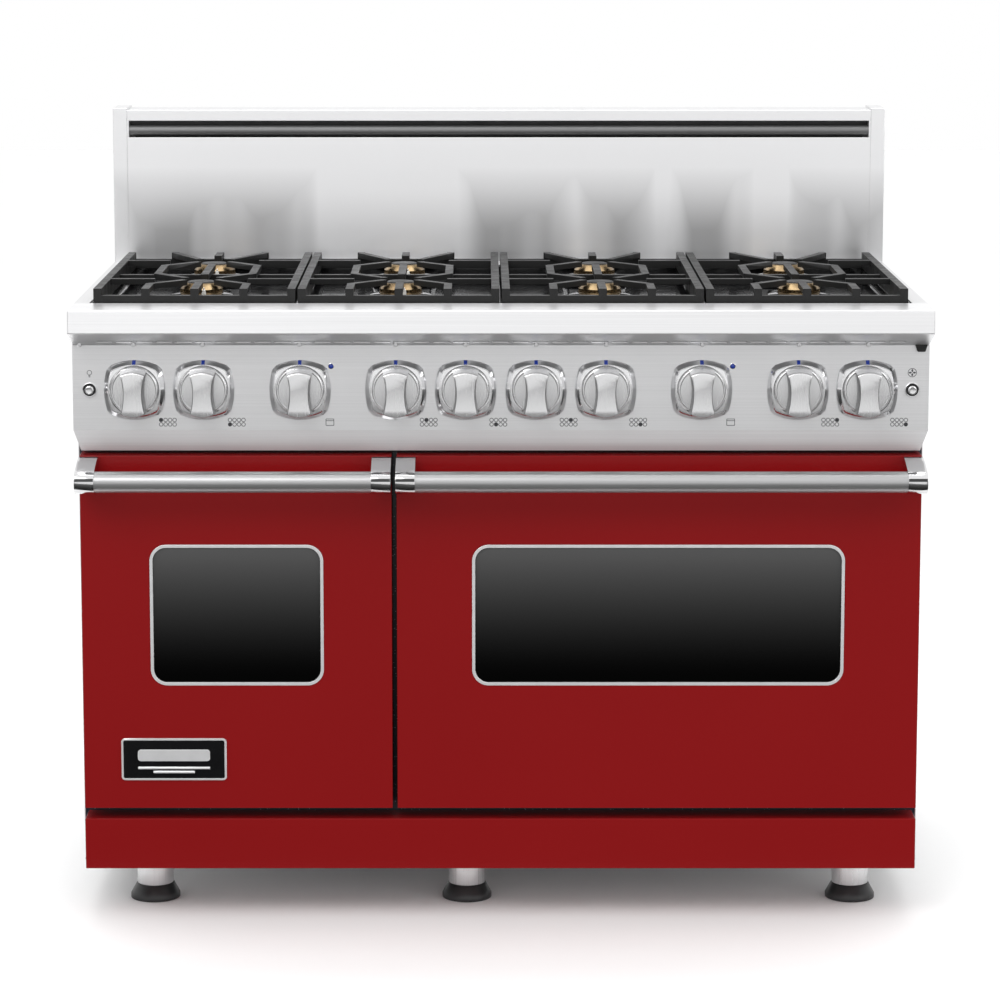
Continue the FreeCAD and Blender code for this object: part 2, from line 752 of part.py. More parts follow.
def make_fan():
    """The convection fan, its motor behind the oven and the baffle in front of it."""
    rear = cavity_y[1]
    cover_front = rear - fan_cover_depth
    hollow_size = fan_cover_size - sheet_metal * 2
    outer = block("cover_outer", about(fan_x, fan_cover_size), (cover_front, rear),
                  about(fan_z, fan_cover_size))
    openings = [block("cover_hollow", about(fan_x, hollow_size),
                      (cover_front + sheet_metal, rear + sheet_metal), about(fan_z, hollow_size))]
    for index in range(cover_slot_count):
        slot_z = fan_z + cover_slot_pitch * (index - (cover_slot_count - 1) / 2)
        openings.append(block(f"cover_slot{index}", about(fan_x, cover_slot_length),
                              (cover_front - sheet_metal, cover_front + sheet_metal * 2),
                              about(slot_z, cover_slot_height)))
    piece("fan_cover", cut("cover", outer, [fuse("cover_openings", openings)]))

    front = rear - fan_front_gap
    blades = [rod("fan_hub", "y", (front, rear - fan_rear_gap), (fan_x, fan_z), fan_hub_radius)]
    for index in range(fan_blade_count):
        blade = document.addObject("Part::Box", f"fan_blade{index}")
        turn = 360 / fan_blade_count * index
        blade.Placement.Rotation = FreeCAD.Rotation(FreeCAD.Vector(0, 1, 0), turn)
        bind(blade, "Length", fan_radius)
        bind(blade, "Width", fan_blade_width)
        bind(blade, "Height", sheet_metal)
        set_place(blade, fan_x, front, fan_z)
        blades.append(blade)
    bore = rod("fan_bore", "y", (rear - fan_bore_depth, rear), (fan_x, fan_z),
               fan_shaft_radius + running_clearance)
    piece("convection_fan", cut("fan", fuse("fan_wheel", blades), [bore]))

    motor_front = rear + sheet_metal
    can = rod("motor_can", "y", (motor_front, motor_front + motor_length), (fan_x, fan_z), motor_radius)
    shaft = rod("motor_shaft", "y", (rear - fan_shaft_depth, motor_front + motor_shaft_lap), (fan_x, fan_z),
                fan_shaft_radius)
    piece("fan_motor", fuse("motor", [can, shaft]))


# ---------------------------------------------------------------- doors

def make_door(side, door, window_margin):
    """One drop-down oven door: skin, liner, glass, trim, handle and its pair of hinges."""
    upright = (door_bottom, door_top)
    window = inset(door, window_margin)
    window_z = (door_bottom + window_rise, door_bottom + window_rise + window_height)
    liner_front = door_thickness - liner_metal
    hinge_x = inset(door, hinge_inset)
    notch_half = hinge_ear_width / 2 + notch_margin

    skin = new_body("door_skin_" + side)
    pad(skin, "skin_block_" + side, "y", (0, liner_front), (rectangle, door, upright))
    pocket(skin, "skin_hollow_" + side, "y", (sheet_metal, liner_front),
           (rectangle, inset(door, sheet_metal), inset(upright, sheet_metal)))
    pocket(skin, "skin_window_" + side, "y", (0, sheet_metal),
           (rounded_rectangle, inset(window, trim_lip), inset(window_z, trim_lip), window_corner - trim_lip))
    notch_y = (hinge_setback - notch_sweep, liner_front)
    notches = [(rectangle, (x - notch_half, x + notch_half), notch_y) for x in hinge_x]
    pocket(skin, "skin_notches_" + side, "z", (door_bottom, door_bottom + sheet_metal), *notches)
    piece("door_skin_" + side, skin)

    liner = new_body("door_liner_" + side)
    liner_x = inset(door, liner_inset)
    liner_z = inset(upright, liner_inset)
    pad(liner, "liner_sheet_" + side, "y", (liner_front, door_thickness), (rectangle, liner_x, liner_z),
        (rounded_rectangle, inset(window, port_inset), inset(window_z, port_inset), port_corner))
    notch_z = (liner_z[0], hinge_z + notch_sweep)
    notches = [(rectangle, (x - notch_half, x + notch_half), notch_z) for x in hinge_x]
    pocket(liner, "liner_notches_" + side, "y", (liner_front, door_thickness), *notches)
    piece("door_liner_" + side, liner)

    outer_pane = new_body("outer_pane_" + side)
    pad(outer_pane, "outer_glass_" + side, "y", (sheet_metal, sheet_metal + glass_thickness),
        (rounded_rectangle, inset(window, -pane_lap), inset(window_z, -pane_lap), window_corner))
    inner_pane = new_body("inner_pane_" + side)
    pad(inner_pane, "inner_glass_" + side, "y", (liner_front - glass_thickness, liner_front),
        (rounded_rectangle, inset(window, port_inset - pane_lap), inset(window_z, port_inset - pane_lap),
         port_corner))
    piece("window_panes_" + side, outer_pane, inner_pane)

    trim = new_body("window_trim_" + side)
    opening = (rounded_rectangle, inset(window, trim_width), inset(window_z, trim_width),
               window_corner - trim_width)
    pad(trim, "trim_flange_" + side, "y", (-trim_thickness, 0),
        (rounded_rectangle, window, window_z, window_corner), opening)
    pad(trim, "trim_lip_" + side, "y", (0, sheet_metal),
        (rounded_rectangle, inset(window, trim_lip), inset(window_z, trim_lip), window_corner - trim_lip),
        opening)
    piece("window_trim_" + side, trim)

    make_handle(side, door)
    make_hinges(side, hinge_x, liner_front)


def make_handle(side, door):
    """A round bar between two polished end brackets that sweep down from the door's top edge."""
    barrel_radius = handle_bar_radius + bracket_wall
    bar_y = barrel_radius - handle_reach
    bar_z = door_top - handle_drop
    bar_x = inset(door, bracket_width)
    piece("handle_bar_" + side, rod("handle_tube_" + side, "x", bar_x, (bar_y, bar_z), handle_bar_radius))
    bracket_top = door_top - bracket_top_drop
    barrel_top = bar_z + barrel_radius
    barrel_bottom = bar_z - barrel_radius
    profile = [
        (0, bracket_top),
        (-bracket_top_depth, bracket_top),
        (bar_y / 2, barrel_top + bracket_shoulder),
        (bar_y - bracket_nose, barrel_top - bracket_top_drop),
        (bar_y, bar_z),
        (bar_y, barrel_bottom),
        (bar_y / 2, barrel_bottom + bracket_heel / 4),
        (0, barrel_bottom + bracket_heel),
    ]
    brackets = []
    for tag, x in (("a", (door[0], bar_x[0])), ("b", (bar_x[1], door[1]))):
        arm = new_body(f"bracket_arm_{side}_{tag}")
        pad(arm, f"bracket_web_{side}_{tag}", "x", x, (polygon, profile))
        barrel = rod(f"bracket_barrel_{side}_{tag}", "x", x, (bar_y, bar_z), barrel_radius)
        brackets.append(fuse(f"bracket_{side}_{tag}", [arm, barrel]))
    piece("handle_posts_" + side, *brackets)


def make_hinges(side, hinge_x, liner_front):
    """Two hinge forks inside the door, each with the pin that turns in an ear of the front frame."""
    fork_gap = hinge_ear_width / 2 + hinge_side_gap
    fork_half = fork_gap + hinge_lug_width
    pin_half = fork_half + hinge_side_gap
    lug_y = (hinge_setback - hinge_ear_radius, liner_front)
    lug_z = (hinge_z - hinge_lug_drop, hinge_z + hinge_lug_rise)
    web_y = (liner_front - hinge_web_metal, liner_front)
    forks = []
    for index, x in enumerate(hinge_x):
        tag = f"{side}{index}"
        near = block("hinge_near" + tag, (x - fork_half, x - fork_gap), lug_y, lug_z)
        far = block("hinge_far" + tag, (x + fork_gap, x + fork_half), lug_y, lug_z)
        web = block("hinge_web" + tag, (x - fork_half, x + fork_half), web_y,
                    (hinge_z + hinge_web_rise, lug_z[1]))
        pin = rod("hinge_pin" + tag, "x", (x - pin_half, x + pin_half), (hinge_setback, hinge_z),
                  hinge_pin_radius)
        forks.append(fuse("hinge_fork" + tag, [near, far, web, pin]))
    piece("door_hinges_" + side, *forks)


def make_badge():
    plate = new_body("name_badge")
    x = (small_door[0] + badge_inset, small_door[0] + badge_inset + badge_width)
    z = (door_bottom + badge_rise, door_bottom + badge_rise + badge_height)
    pad(plate, "badge_plate", "y", (-badge_thickness, 0), (rounded_rectangle, x, z, badge_corner))
    piece("name_badge", plate)


# ---------------------------------------------------------------- control panel

knob_places = [-knob_outer, -knob_fourth, -knob_oven, -knob_second, -knob_inner,
               knob_inner, knob_second, knob_oven, knob_fourth, knob_outer]
button_places = {"light": -button_offset, "fan": button_offset}
OVEN_KNOBS = (3, 8)


def make_control_panel():
    """A folded stainless housing, open at the back, with a lower lip that leans in under it."""
    shell = new_body("control_panel")
    outline = [(panel_y, panel_top), (panel_y, panel_crease), (panel_lip_setback, panel_bottom),
               (carcass_setback, panel_bottom), (carcass_setback, panel_top)]
    pad(shell, "panel_outside", "x", across, (polygon, outline))
    inside = [(panel_y + sheet_metal, panel_top - sheet_metal), (panel_y + sheet_metal, panel_crease),
              (panel_lip_setback + sheet_metal / 2, panel_bottom + sheet_metal),
              (carcass_setback, panel_bottom + sheet_metal), (carcass_setback, panel_top - sheet_metal)]
    pocket(shell, "panel_inside", "x", inset(across, panel_end_wall), (polygon, inside))
    holes = [(circle, x, knob_z, knob_hub_radius + panel_hole_margin) for x in knob_places]
    holes += [(circle, x, knob_z, button_radius + button_hole_margin) for x in button_places.values()]
    pocket(shell, "panel_holes", "y", (panel_y, manifold_setback - manifold_radius), *holes)
    for tag, edge, inward in (("left", across[0], 1), ("right", across[1], -1)):
        corner = [(edge, panel_crease), (edge, panel_bottom),
                  (edge + panel_corner_taper * inward, panel_bottom)]
        pocket(shell, "panel_taper_" + tag, "y", (panel_y, carcass_setback), (polygon, corner))
    piece("control_panel", shell)


def make_knobs():
    """Ten knobs: a disc with a waisted grip across it, bored to turn on a valve stem."""
    face = panel_y - knob_back_gap
    disc_front = face - knob_disc_height
    grip_front = disc_front - knob_grip_reach
    hub_back = panel_y + knob_hub_depth
    waist_radius = knob_radius * 2
    waist = knob_grip_width / 2 - knob_waist_bow + waist_radius
    for index, x in enumerate(knob_places, start=1):
        disc = rod(f"knob_disc{index}", "y", (disc_front, face), (x, knob_z), knob_radius)
        hub = rod(f"knob_hub{index}", "y", (face, hub_back), (x, knob_z), knob_hub_radius)
        slab = block(f"knob_slab{index}", about(x, knob_grip_width), (grip_front, disc_front),
                     about(knob_z, knob_grip_length))
        sides = [rod(f"knob_waist{index}_{tag}", "y", (grip_front, disc_front), (x + waist * tag, knob_z),
                     waist_radius) for tag in (-1, 1)]
        grip = cut(f"knob_grip{index}", slab, [group(f"knob_waists{index}", sides)])
        solid = fuse(f"knob_solid{index}", [disc, hub, grip])
        bore = rod(f"knob_bore{index}", "y", (stem_front - part_clearance, hub_back), (x, knob_z),
                   valve_stem_radius + running_clearance)
        piece(f"knob_{index}", cut(f"knob_bored{index}", solid, [bore]))


def make_bezels():
    """A rounded-square surround for each knob and a plain ring for each button."""
    surrounds = []
    bezel_y = (panel_y - bezel_thickness, panel_y)
    for index, x in enumerate(knob_places, start=1):
        ring = new_body(f"bezel{index}")
        pad(ring, f"bezel_ring{index}", "y", bezel_y,
            (rounded_rectangle, about(x, bezel_width), about(knob_z, bezel_height), bezel_corner),
            (circle, x, knob_z, knob_radius + bezel_knob_gap))
        surrounds.append(ring)
    for tag, x in button_places.items():
        ring = new_body("button_ring_" + tag)
        pad(ring, "button_collar_" + tag, "y", (panel_y - button_ring_thickness, panel_y),
            (circle, x, knob_z, button_ring_radius), (circle, x, knob_z, button_radius + part_clearance))
        surrounds.append(ring)
    piece("control_bezels", *surrounds)
    for tag, x in button_places.items():
        stem_y = (panel_y - button_reach, panel_y + button_stem_depth)
        stem = rod(f"{tag}_button_stem", "y", stem_y, (x, knob_z), button_radius)
        piece(f"{tag}_switch_button", stem)


def make_gas_manifold():
    """The pipe behind the knobs, a valve with its stem for each knob, and the supply down the back."""
    pipe_ends = (-knob_outer - manifold_end, inlet_x)
    parts = [rod("manifold_pipe", "x", pipe_ends, (manifold_setback, knob_z), manifold_radius)]
    valve_front = panel_y + valve_setback
    valve_middle = (valve_front + manifold_setback - manifold_radius) / 2
    for index, x in enumerate(knob_places, start=1):
        width = oven_valve_width if index in OVEN_KNOBS else burner_valve_width
        parts.append(block(f"valve{index}", about(x, width), (valve_front, manifold_setback),
                           about(knob_z, valve_size)))
        parts.append(rod(f"valve_stem{index}", "y", (stem_front, valve_middle), (x, knob_z),
                         valve_stem_radius))
    rear_y = guard_front - supply_gap
    parts.append(rod("supply_run", "y", (manifold_setback, rear_y), (inlet_x, knob_z), inlet_radius))
    parts.append(rod("supply_drop", "z", (inlet_height, knob_z), (inlet_x, rear_y), inlet_radius))
    parts.append(rod("supply_inlet", "y", (rear_y, back_plane - inlet_end_gap), (inlet_x, inlet_height),
                     inlet_radius))
    parts.append(rod("supply_socket", "y", (rear_y - socket_radius, rear_y + inlet_radius),
                     (inlet_x, inlet_height), socket_radius))
    for tag, y in (("front", manifold_setback), ("rear", rear_y)):
        elbow = document.addObject("Part::Sphere", "supply_elbow_" + tag)
        bind(elbow, "Radius", elbow_radius)
        set_place(elbow, inlet_x, y, knob_z)
        parts.append(elbow)
    piece("gas_manifold", fuse("manifold", parts))


# ---------------------------------------------------------------- deck and backguard

def make_landing_ledge():
    """The rounded front ledge; a row of cooling slots runs along its sloping underside."""
    ledge_bottom = deck_height - ledge_front_height
    outline = [(-ledge_crease, deck_height), (-ledge_overhang, ledge_bottom), (panel_y - ledge_heel, panel_top),
               (ledge_back, panel_top), (ledge_back, deck_height)]
    shell = new_body("landing_ledge")
    pad(shell, "ledge_outside", "x", across, (polygon, outline))
    inside = [(sheet_metal - ledge_crease, deck_under),
              (sheet_metal * 1.3 - ledge_overhang, ledge_bottom + sheet_metal / 2),
              (panel_y - ledge_heel * 0.75, panel_top + sheet_metal), (ledge_back, panel_top + sheet_metal),
              (ledge_back, deck_under)]
    pocket(shell, "ledge_inside", "x", inset(across, sheet_metal), (polygon, inside))
    slot_y = about(panel_y - vent_slot_setback, vent_slot_width)
    count = int(number(overall_width - vent_slot_pitch * 2) / number(vent_slot_pitch))
    slots = []
    for index in range(count):
        middle = vent_slot_pitch * (index - (count - 1) / 2)
        slots.append((rectangle, about(middle, vent_slot_length), slot_y))
    pocket(shell, "ledge_slots", "z", (panel_top, ledge_bottom), *slots)
    piece("landing_ledge", shell)


grate_pitch = grate_width + grate_gap
grate_places = [grate_pitch * step for step in (-1.5, -0.5, 0.5, 1.5)]
grates_across = (grate_places[0] - grate_width / 2, grate_places[3] + grate_width / 2)
grate_y = (grate_front, grate_front + grate_depth)
well_x = inset(grates_across, -well_margin)
well_y = inset(grate_y, -well_margin)
pan_floor = deck_height - well_depth
burner_pitch = grate_depth / 2
burner_front = grate_front + (grate_depth - burner_pitch) / 2 + burner_row_shift
burner_rows = (burner_front, burner_front + burner_pitch)
crown_low = pan_floor + burner_base_height
crown_top = crown_low + burner_crown_height


def make_cooktop():
    """The stainless deck round the grate well, and the porcelain pan that lines the well."""
    deck = new_body("cooktop_deck")
    pan_wall = sheet_metal
    pad(deck, "deck_sheet", "z", (deck_under, deck_height), (rectangle, across, (ledge_back, back_plane)),
        (rectangle, inset(well_x, -pan_wall), inset(well_y, -pan_wall)))
    piece("cooktop_deck", deck)

    pan = new_body("burner_pan")
    pad(pan, "pan_block", "z", (pan_floor - pan_wall, deck_under),
        (rectangle, inset(well_x, -pan_wall), inset(well_y, -pan_wall)))
    pad(pan, "pan_flange", "z", (deck_under - pan_wall, deck_under),
        (rectangle, inset(well_x, -pan_flange_width), inset(well_y, -pan_flange_width)))
    pocket(pan, "pan_hollow", "z", (pan_floor, deck_under), (rectangle, well_x, well_y))
    holes = [(circle, x, y, burner_neck_radius) for x in grate_places for y in burner_rows]
    pocket(pan, "pan_burner_holes", "z", (pan_floor - pan_wall, pan_floor), *holes)
    piece("burner_pan", pan)


def make_burners():
    """Eight burners: a ported brass crown on its base and neck, a cap and a spark igniter beside it."""
    heads = []
    caps = []
    igniters = []
    for column, x in enumerate(grate_places):
        for row, y in enumerate(burner_rows):
            tag = f"{column}{row}"
            port_top = crown_low + burner_port_height
            shoulder = crown_low - burner_collar_height
            neck = rod("burner_neck" + tag, "z", (pan_floor - burner_neck_length, shoulder), (x, y),
                       burner_neck_radius)
            base = cone("burner_base" + tag, (pan_floor, shoulder), (x, y),
                        burner_base_radius - burner_base_flare, burner_base_radius)
            collar = rod("burner_collar" + tag, "z", (shoulder, crown_low), (x, y),
                         burner_crown_radius + burner_collar_width)
            ports = rod("burner_ports" + tag, "z", (crown_low, port_top), (x, y), burner_crown_radius)
            crown = cone("burner_crown" + tag, (port_top, crown_top), (x, y), burner_crown_radius,
                         burner_cap_radius)
            heads.append(fuse("burner_head" + tag, [neck, base, collar, ports, crown]))
            caps.append(rod("burner_cap" + tag, "z", (crown_top, crown_top + burner_cap_height), (x, y),
                            burner_cap_radius - burner_cap_inset))
            igniter_place = (x + igniter_offset, y - burner_crown_radius - igniter_gap)
            igniters.append(rod("igniter" + tag, "z", (crown_low, crown_low + igniter_height), igniter_place,
                                igniter_radius))
    piece("burner_heads", *heads)
    piece("burner_caps", *caps)
    piece("burner_igniters", *igniters)


def make_grate(index, x):
    """One cast-iron grate: a low rim with posts, and raised fingers round its two burners."""
    top = deck_height + grate_rise
    rail_z = (top - grate_rail_drop - grate_rail_height, top - grate_rail_drop)
    finger_z = (top - grate_finger_height, top)
    side = grate_width / 2
    y = grate_y
    name = f"grate{index}_"
    parts = []

    def lay(tag, start, end, z=finger_z):
        parts.append(bar(name + tag, (x + start[0], start[1]), (x + end[0], end[1]), grate_bar, z))

    half_bar = grate_bar / 2
    rim_x = side - half_bar
    rim_y = inset(y, half_bar)
    wall_z = (rail_z[0], top)
    lay("rim_front", (-side, rim_y[0]), (side, rim_y[0]), rail_z)
    lay("rim_rear", (-side, rim_y[1]), (side, rim_y[1]), rail_z)
    post = grate_post_offset
    mid_y = (burner_rows[0] + burner_rows[1]) / 2
    front_end = y[0] + finger_end_gap
    rear_end = y[1] - finger_end_gap
    stem_end = burner_rows[0] - front_stem_gap
    joint = stem_reach - stem_lap
    cross_z = (finger_z[0] - grate_cross_drop, top - grate_cross_drop)
    lay("cross", (-side, mid_y), (side, mid_y), cross_z)
    lay("spine", (0, mid_y - spine_reach), (0, mid_y + spine_reach))
    lay("front_finger", (0, front_end), (0, burner_rows[0] - front_finger_gap))
    lay("rear_finger", (0, burner_rows[1] + rear_finger_gap), (0, rear_end))
    for tag, offset in (("left", -post), ("middle", 0), ("right", post)):
        lay("front_post_" + tag, (offset, y[0]), (offset, y[0] + grate_bar), wall_z)
        lay("rear_post_" + tag, (offset, y[1] - grate_bar), (offset, y[1]), wall_z)
    front_tips = (burner_rows[0] - burner_tip_reach, burner_rows[0] + burner_tip_reach)
    rear_tips = (burner_rows[1] - burner_tip_reach - rear_tip_shift,
                 burner_rows[1] + burner_tip_reach + rear_tip_shift)
    foot_z = (pan_floor + part_clearance, rail_z[0] + 1)
    for tag, sign in (("left", -1), ("right", 1)):
        rim = rim_x * sign
        stem = post * sign
        tip_x = burner_tip_offset * sign
        lay("rim_" + tag, (rim, y[0]), (rim, y[1]), wall_z)
        lay("front_stem_" + tag, (stem, front_end), (stem, stem_end))
        lay("front_tip_" + tag, (stem, stem_end - stem_lap), (tip_x, front_tips[0]))
        lay("mid_stem_" + tag, (stem, mid_y - stem_reach), (stem, mid_y + stem_reach))
        lay("mid_front_tip_" + tag, (stem, mid_y - joint), (tip_x, front_tips[1]))
        lay("mid_rear_tip_" + tag, (stem, mid_y + joint), (tip_x, rear_tips[0]))
        lay("rear_tip_" + tag, (stem, rear_end - stem_lap), (tip_x, rear_tips[1]))
        for row, burner_y in enumerate(burner_rows):
            lay(f"side_finger{row}_" + tag, (rim, burner_y), ((post - side_finger_lap) * sign, burner_y))
        for end, foot_y in zip(("front", "rear"), rim_y):
            parts.append(rod(f"{name}foot_{end}_{tag}", "z", foot_z, (x + rim, foot_y), grate_foot_radius))
    piece(f"grate_{index}", fuse(name + "casting", parts))


def make_backguard():
    """The high back: a folded panel with a vent slot near its top, two end caps and a bar in the slot."""
    top = deck_height + guard_rise
    panel_x = inset(across, guard_cap_width)
    upright = (deck_height, top)
    panel = new_body("backguard_panel")
    pad(panel, "guard_block", "z", upright, (rectangle, panel_x, (guard_front, back_plane)))
    wall = sheet_metal
    inner_y = inset((guard_front, back_plane), wall)
    pocket_top = top - wall
    hollow = block("guard_hollow", inset(panel_x, guard_end_wall), inner_y, (deck_height, pocket_top))
    slot_z = (top - guard_slot_drop - guard_slot_height, top - guard_slot_drop)
    slot_x = inset(panel_x, guard_slot_inset)
    slot = block("guard_slot", slot_x, (guard_front - wall, guard_front + guard_slot_depth), slot_z)
    shell = cut("guard_shell", panel, [fuse("guard_openings", [hollow, slot])])
    caps = []
    for tag, x in (("left", (across[0], panel_x[0])), ("right", (panel_x[1], across[1]))):
        caps.append(block("guard_cap_" + tag, x, (guard_front, back_plane),
                          (deck_height, top + guard_cap_rise)))
    piece("backguard_panel", shell, *caps)
    bar_centre = (guard_front + guard_bar_setback + guard_bar_radius,
                  slot_z[0] + guard_bar_rest + guard_bar_radius)
    piece("backguard_bar", rod("guard_bar", "x", slot_x, bar_centre, guard_bar_radius))


# ---------------------------------------------------------------- assembly, checks and export

make_feet()
make_kick_panel()
make_carcass()
make_oven_liners()
make_rack("rack_left", small_cavity, 1)
make_rack("rack_right_low", large_cavity, 1)
make_rack("rack_right_high", large_cavity, 3)
make_oven_burners()
make_fan()
make_door("left", small_door, small_window_margin)
make_door("right", large_door, large_window_margin)
make_badge()
make_control_panel()
make_knobs()
make_bezels()
make_gas_manifold()
make_landing_ledge()
make_cooktop()
make_burners()
for grate_index, grate_x in enumerate(grate_places, start=1):
    make_grate(grate_index, grate_x)
make_backguard()
document.recompute()

for item in document.Objects:
    if "Invalid" in item.State or "Error" in item.State:
        raise RuntimeError(f"{item.Label} failed: {item.State}")
    if item.TypeId == "PartDesign::Pocket":
        before = item.BaseFeature.Shape.Volume
        if item.Shape.Volume > before - 1:
            raise RuntimeError(f"{item.Label} removes nothing")

os.makedirs("parts", exist_ok=True)
for item in pieces:
    shape = item.Shape
    if shape.isNull() or not shape.isValid() or not shape.Solids:
        raise RuntimeError(f"{item.Label} has no valid solid")
    shape.exportStep(f"parts/{item.Label}.step")
    box = shape.BoundBox
    print(f"{item.Label:22s} solids {len(shape.Solids):2d}  x {box.XMin:8.1f} {box.XMax:8.1f}"
          f"  y {box.YMin:8.1f} {box.YMax:8.1f}  z {box.ZMin:7.1f} {box.ZMax:7.1f}")
print(len(pieces), "sub-parts")
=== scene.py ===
"""The looks of a freestanding gas range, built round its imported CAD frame. All lengths are in metres."""
import math

import bmesh
import bpy
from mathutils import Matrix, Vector


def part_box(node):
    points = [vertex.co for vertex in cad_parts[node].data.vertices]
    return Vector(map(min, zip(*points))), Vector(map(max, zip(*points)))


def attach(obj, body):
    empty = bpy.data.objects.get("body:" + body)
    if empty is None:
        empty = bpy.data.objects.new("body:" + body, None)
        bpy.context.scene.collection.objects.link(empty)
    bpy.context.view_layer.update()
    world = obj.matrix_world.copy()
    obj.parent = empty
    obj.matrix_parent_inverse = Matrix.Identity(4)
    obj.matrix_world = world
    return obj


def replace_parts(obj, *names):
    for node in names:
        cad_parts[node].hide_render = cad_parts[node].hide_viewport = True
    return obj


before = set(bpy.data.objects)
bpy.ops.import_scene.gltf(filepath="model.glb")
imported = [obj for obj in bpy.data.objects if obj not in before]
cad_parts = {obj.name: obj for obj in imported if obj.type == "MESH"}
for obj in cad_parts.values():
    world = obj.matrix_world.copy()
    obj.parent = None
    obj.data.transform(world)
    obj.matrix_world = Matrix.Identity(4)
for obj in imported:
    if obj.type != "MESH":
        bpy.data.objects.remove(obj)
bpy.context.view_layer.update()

scene = bpy.context.scene
SMOOTH_ANGLE = math.radians(38)     # edges sharper than this stay sharp, and are the ones rounded
BEZEL_SHARP_ANGLE = math.radians(18)
DECK_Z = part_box("cooktop_deck")[1].z


# ---------------------------------------------------------------- materials

def shader(name, color, metallic=0.0, roughness=0.4, **sockets):
    """A Principled material; sockets are set by name with spaces written as underscores."""
    material = bpy.data.materials.new(name)
    material.use_nodes = True
    surface = material.node_tree.nodes["Principled BSDF"]
    surface.inputs["Base Color"].default_value = (*color, 1.0)
    surface.inputs["Metallic"].default_value = metallic
    surface.inputs["Roughness"].default_value = roughness
    for socket, value in sockets.items():
        surface.inputs[socket.replace("_", " ")].default_value = value
    return material


def link(material, source, target):
    material.node_tree.links.new(source, target)


def surface_of(material):
    return material.node_tree.nodes["Principled BSDF"]


def noise(material, scale, stretch=(1, 1, 1), detail=3.0):
    """A noise field in the object's own metres, stretched along each axis."""
    nodes = material.node_tree.nodes
    coordinates = nodes.new("ShaderNodeTexCoord")
    mapping = nodes.new("ShaderNodeMapping")
    mapping.inputs["Scale"].default_value = stretch
    texture = nodes.new("ShaderNodeTexNoise")
    texture.inputs["Scale"].default_value = scale
    texture.inputs["Detail"].default_value = detail
    link(material, coordinates.outputs["Object"], mapping.inputs["Vector"])
    link(material, mapping.outputs["Vector"], texture.inputs["Vector"])
    return texture.outputs["Fac"]


def cells(material, scale):
    """A Voronoi field: the distance to the nearest cell's middle, and the cell's colour."""
    nodes = material.node_tree.nodes
    coordinates = nodes.new("ShaderNodeTexCoord")
    texture = nodes.new("ShaderNodeTexVoronoi")
    texture.inputs["Scale"].default_value = scale
    link(material, coordinates.outputs["Object"], texture.inputs["Vector"])
    return texture.outputs["Distance"], texture.outputs["Color"]


def height(material):
    """The height above the floor of each point, in metres."""
    nodes = material.node_tree.nodes
    coordinates = nodes.new("ShaderNodeTexCoord")
    split = nodes.new("ShaderNodeSeparateXYZ")
    link(material, coordinates.outputs["Object"], split.inputs["Vector"])
    return split.outputs["Z"]


def remap(material, field, from_range, to_range):
    """A field stretched from one range to another, held at its ends."""
    node = material.node_tree.nodes.new("ShaderNodeMapRange")
    node.inputs["From Min"].default_value = from_range[0]
    node.inputs["From Max"].default_value = from_range[1]
    node.inputs["To Min"].default_value = to_range[0]
    node.inputs["To Max"].default_value = to_range[1]
    link(material, field, node.inputs["Value"])
    return node.outputs["Result"]


def combine(material, operation, first, second):
    """A field worked out from a field and another field, or from a field and a number."""
    node = material.node_tree.nodes.new("ShaderNodeMath")
    node.operation = operation
    link(material, first, node.inputs[0])
    if isinstance(second, float):
        node.inputs[1].default_value = second
    else:
        link(material, second, node.inputs[1])
    return node.outputs[0]


def vary_roughness(material, field, low, high, span=(0.3, 0.7)):
    link(material, remap(material, field, span, (low, high)), surface_of(material).inputs["Roughness"])


def vary_color(material, field, first, second, span=(0.3, 0.7)):
    """The base colour runs from first to second as the field crosses span."""
    mix = material.node_tree.nodes.new("ShaderNodeMix")
    mix.data_type = "RGBA"
    mix.inputs[6].default_value = (*first, 1.0)
    mix.inputs[7].default_value = (*second, 1.0)
    link(material, remap(material, field, span, (0.0, 1.0)), mix.inputs["Factor"])
    link(material, mix.outputs[2], surface_of(material).inputs["Base Color"])


def bump(material, field, strength, depth):
    node = material.node_tree.nodes.new("ShaderNodeBump")
    node.inputs["Strength"].default_value = strength
    node.inputs["Distance"].default_value = depth
    link(material, field, node.inputs["Height"])
    link(material, node.outputs["Normal"], surface_of(material).inputs["Normal"])


def grey(value):
    return (value, value, value * 1.01)


def brushed(name, stretch, tone, roughness):
    """Satin steel with fine brush lines along the axis whose stretch is small; roughness is a range."""
    low, high = roughness
    material = shader(name, grey(tone), 0.8, low)
    grain = noise(material, 1.0, stretch, 4.0)
    vary_roughness(material, grain, low, high)
    vary_color(material, grain, grey(tone * 0.96), grey(tone * 1.03))
    bump(material, grain, 0.05, 0.0001)
    return material


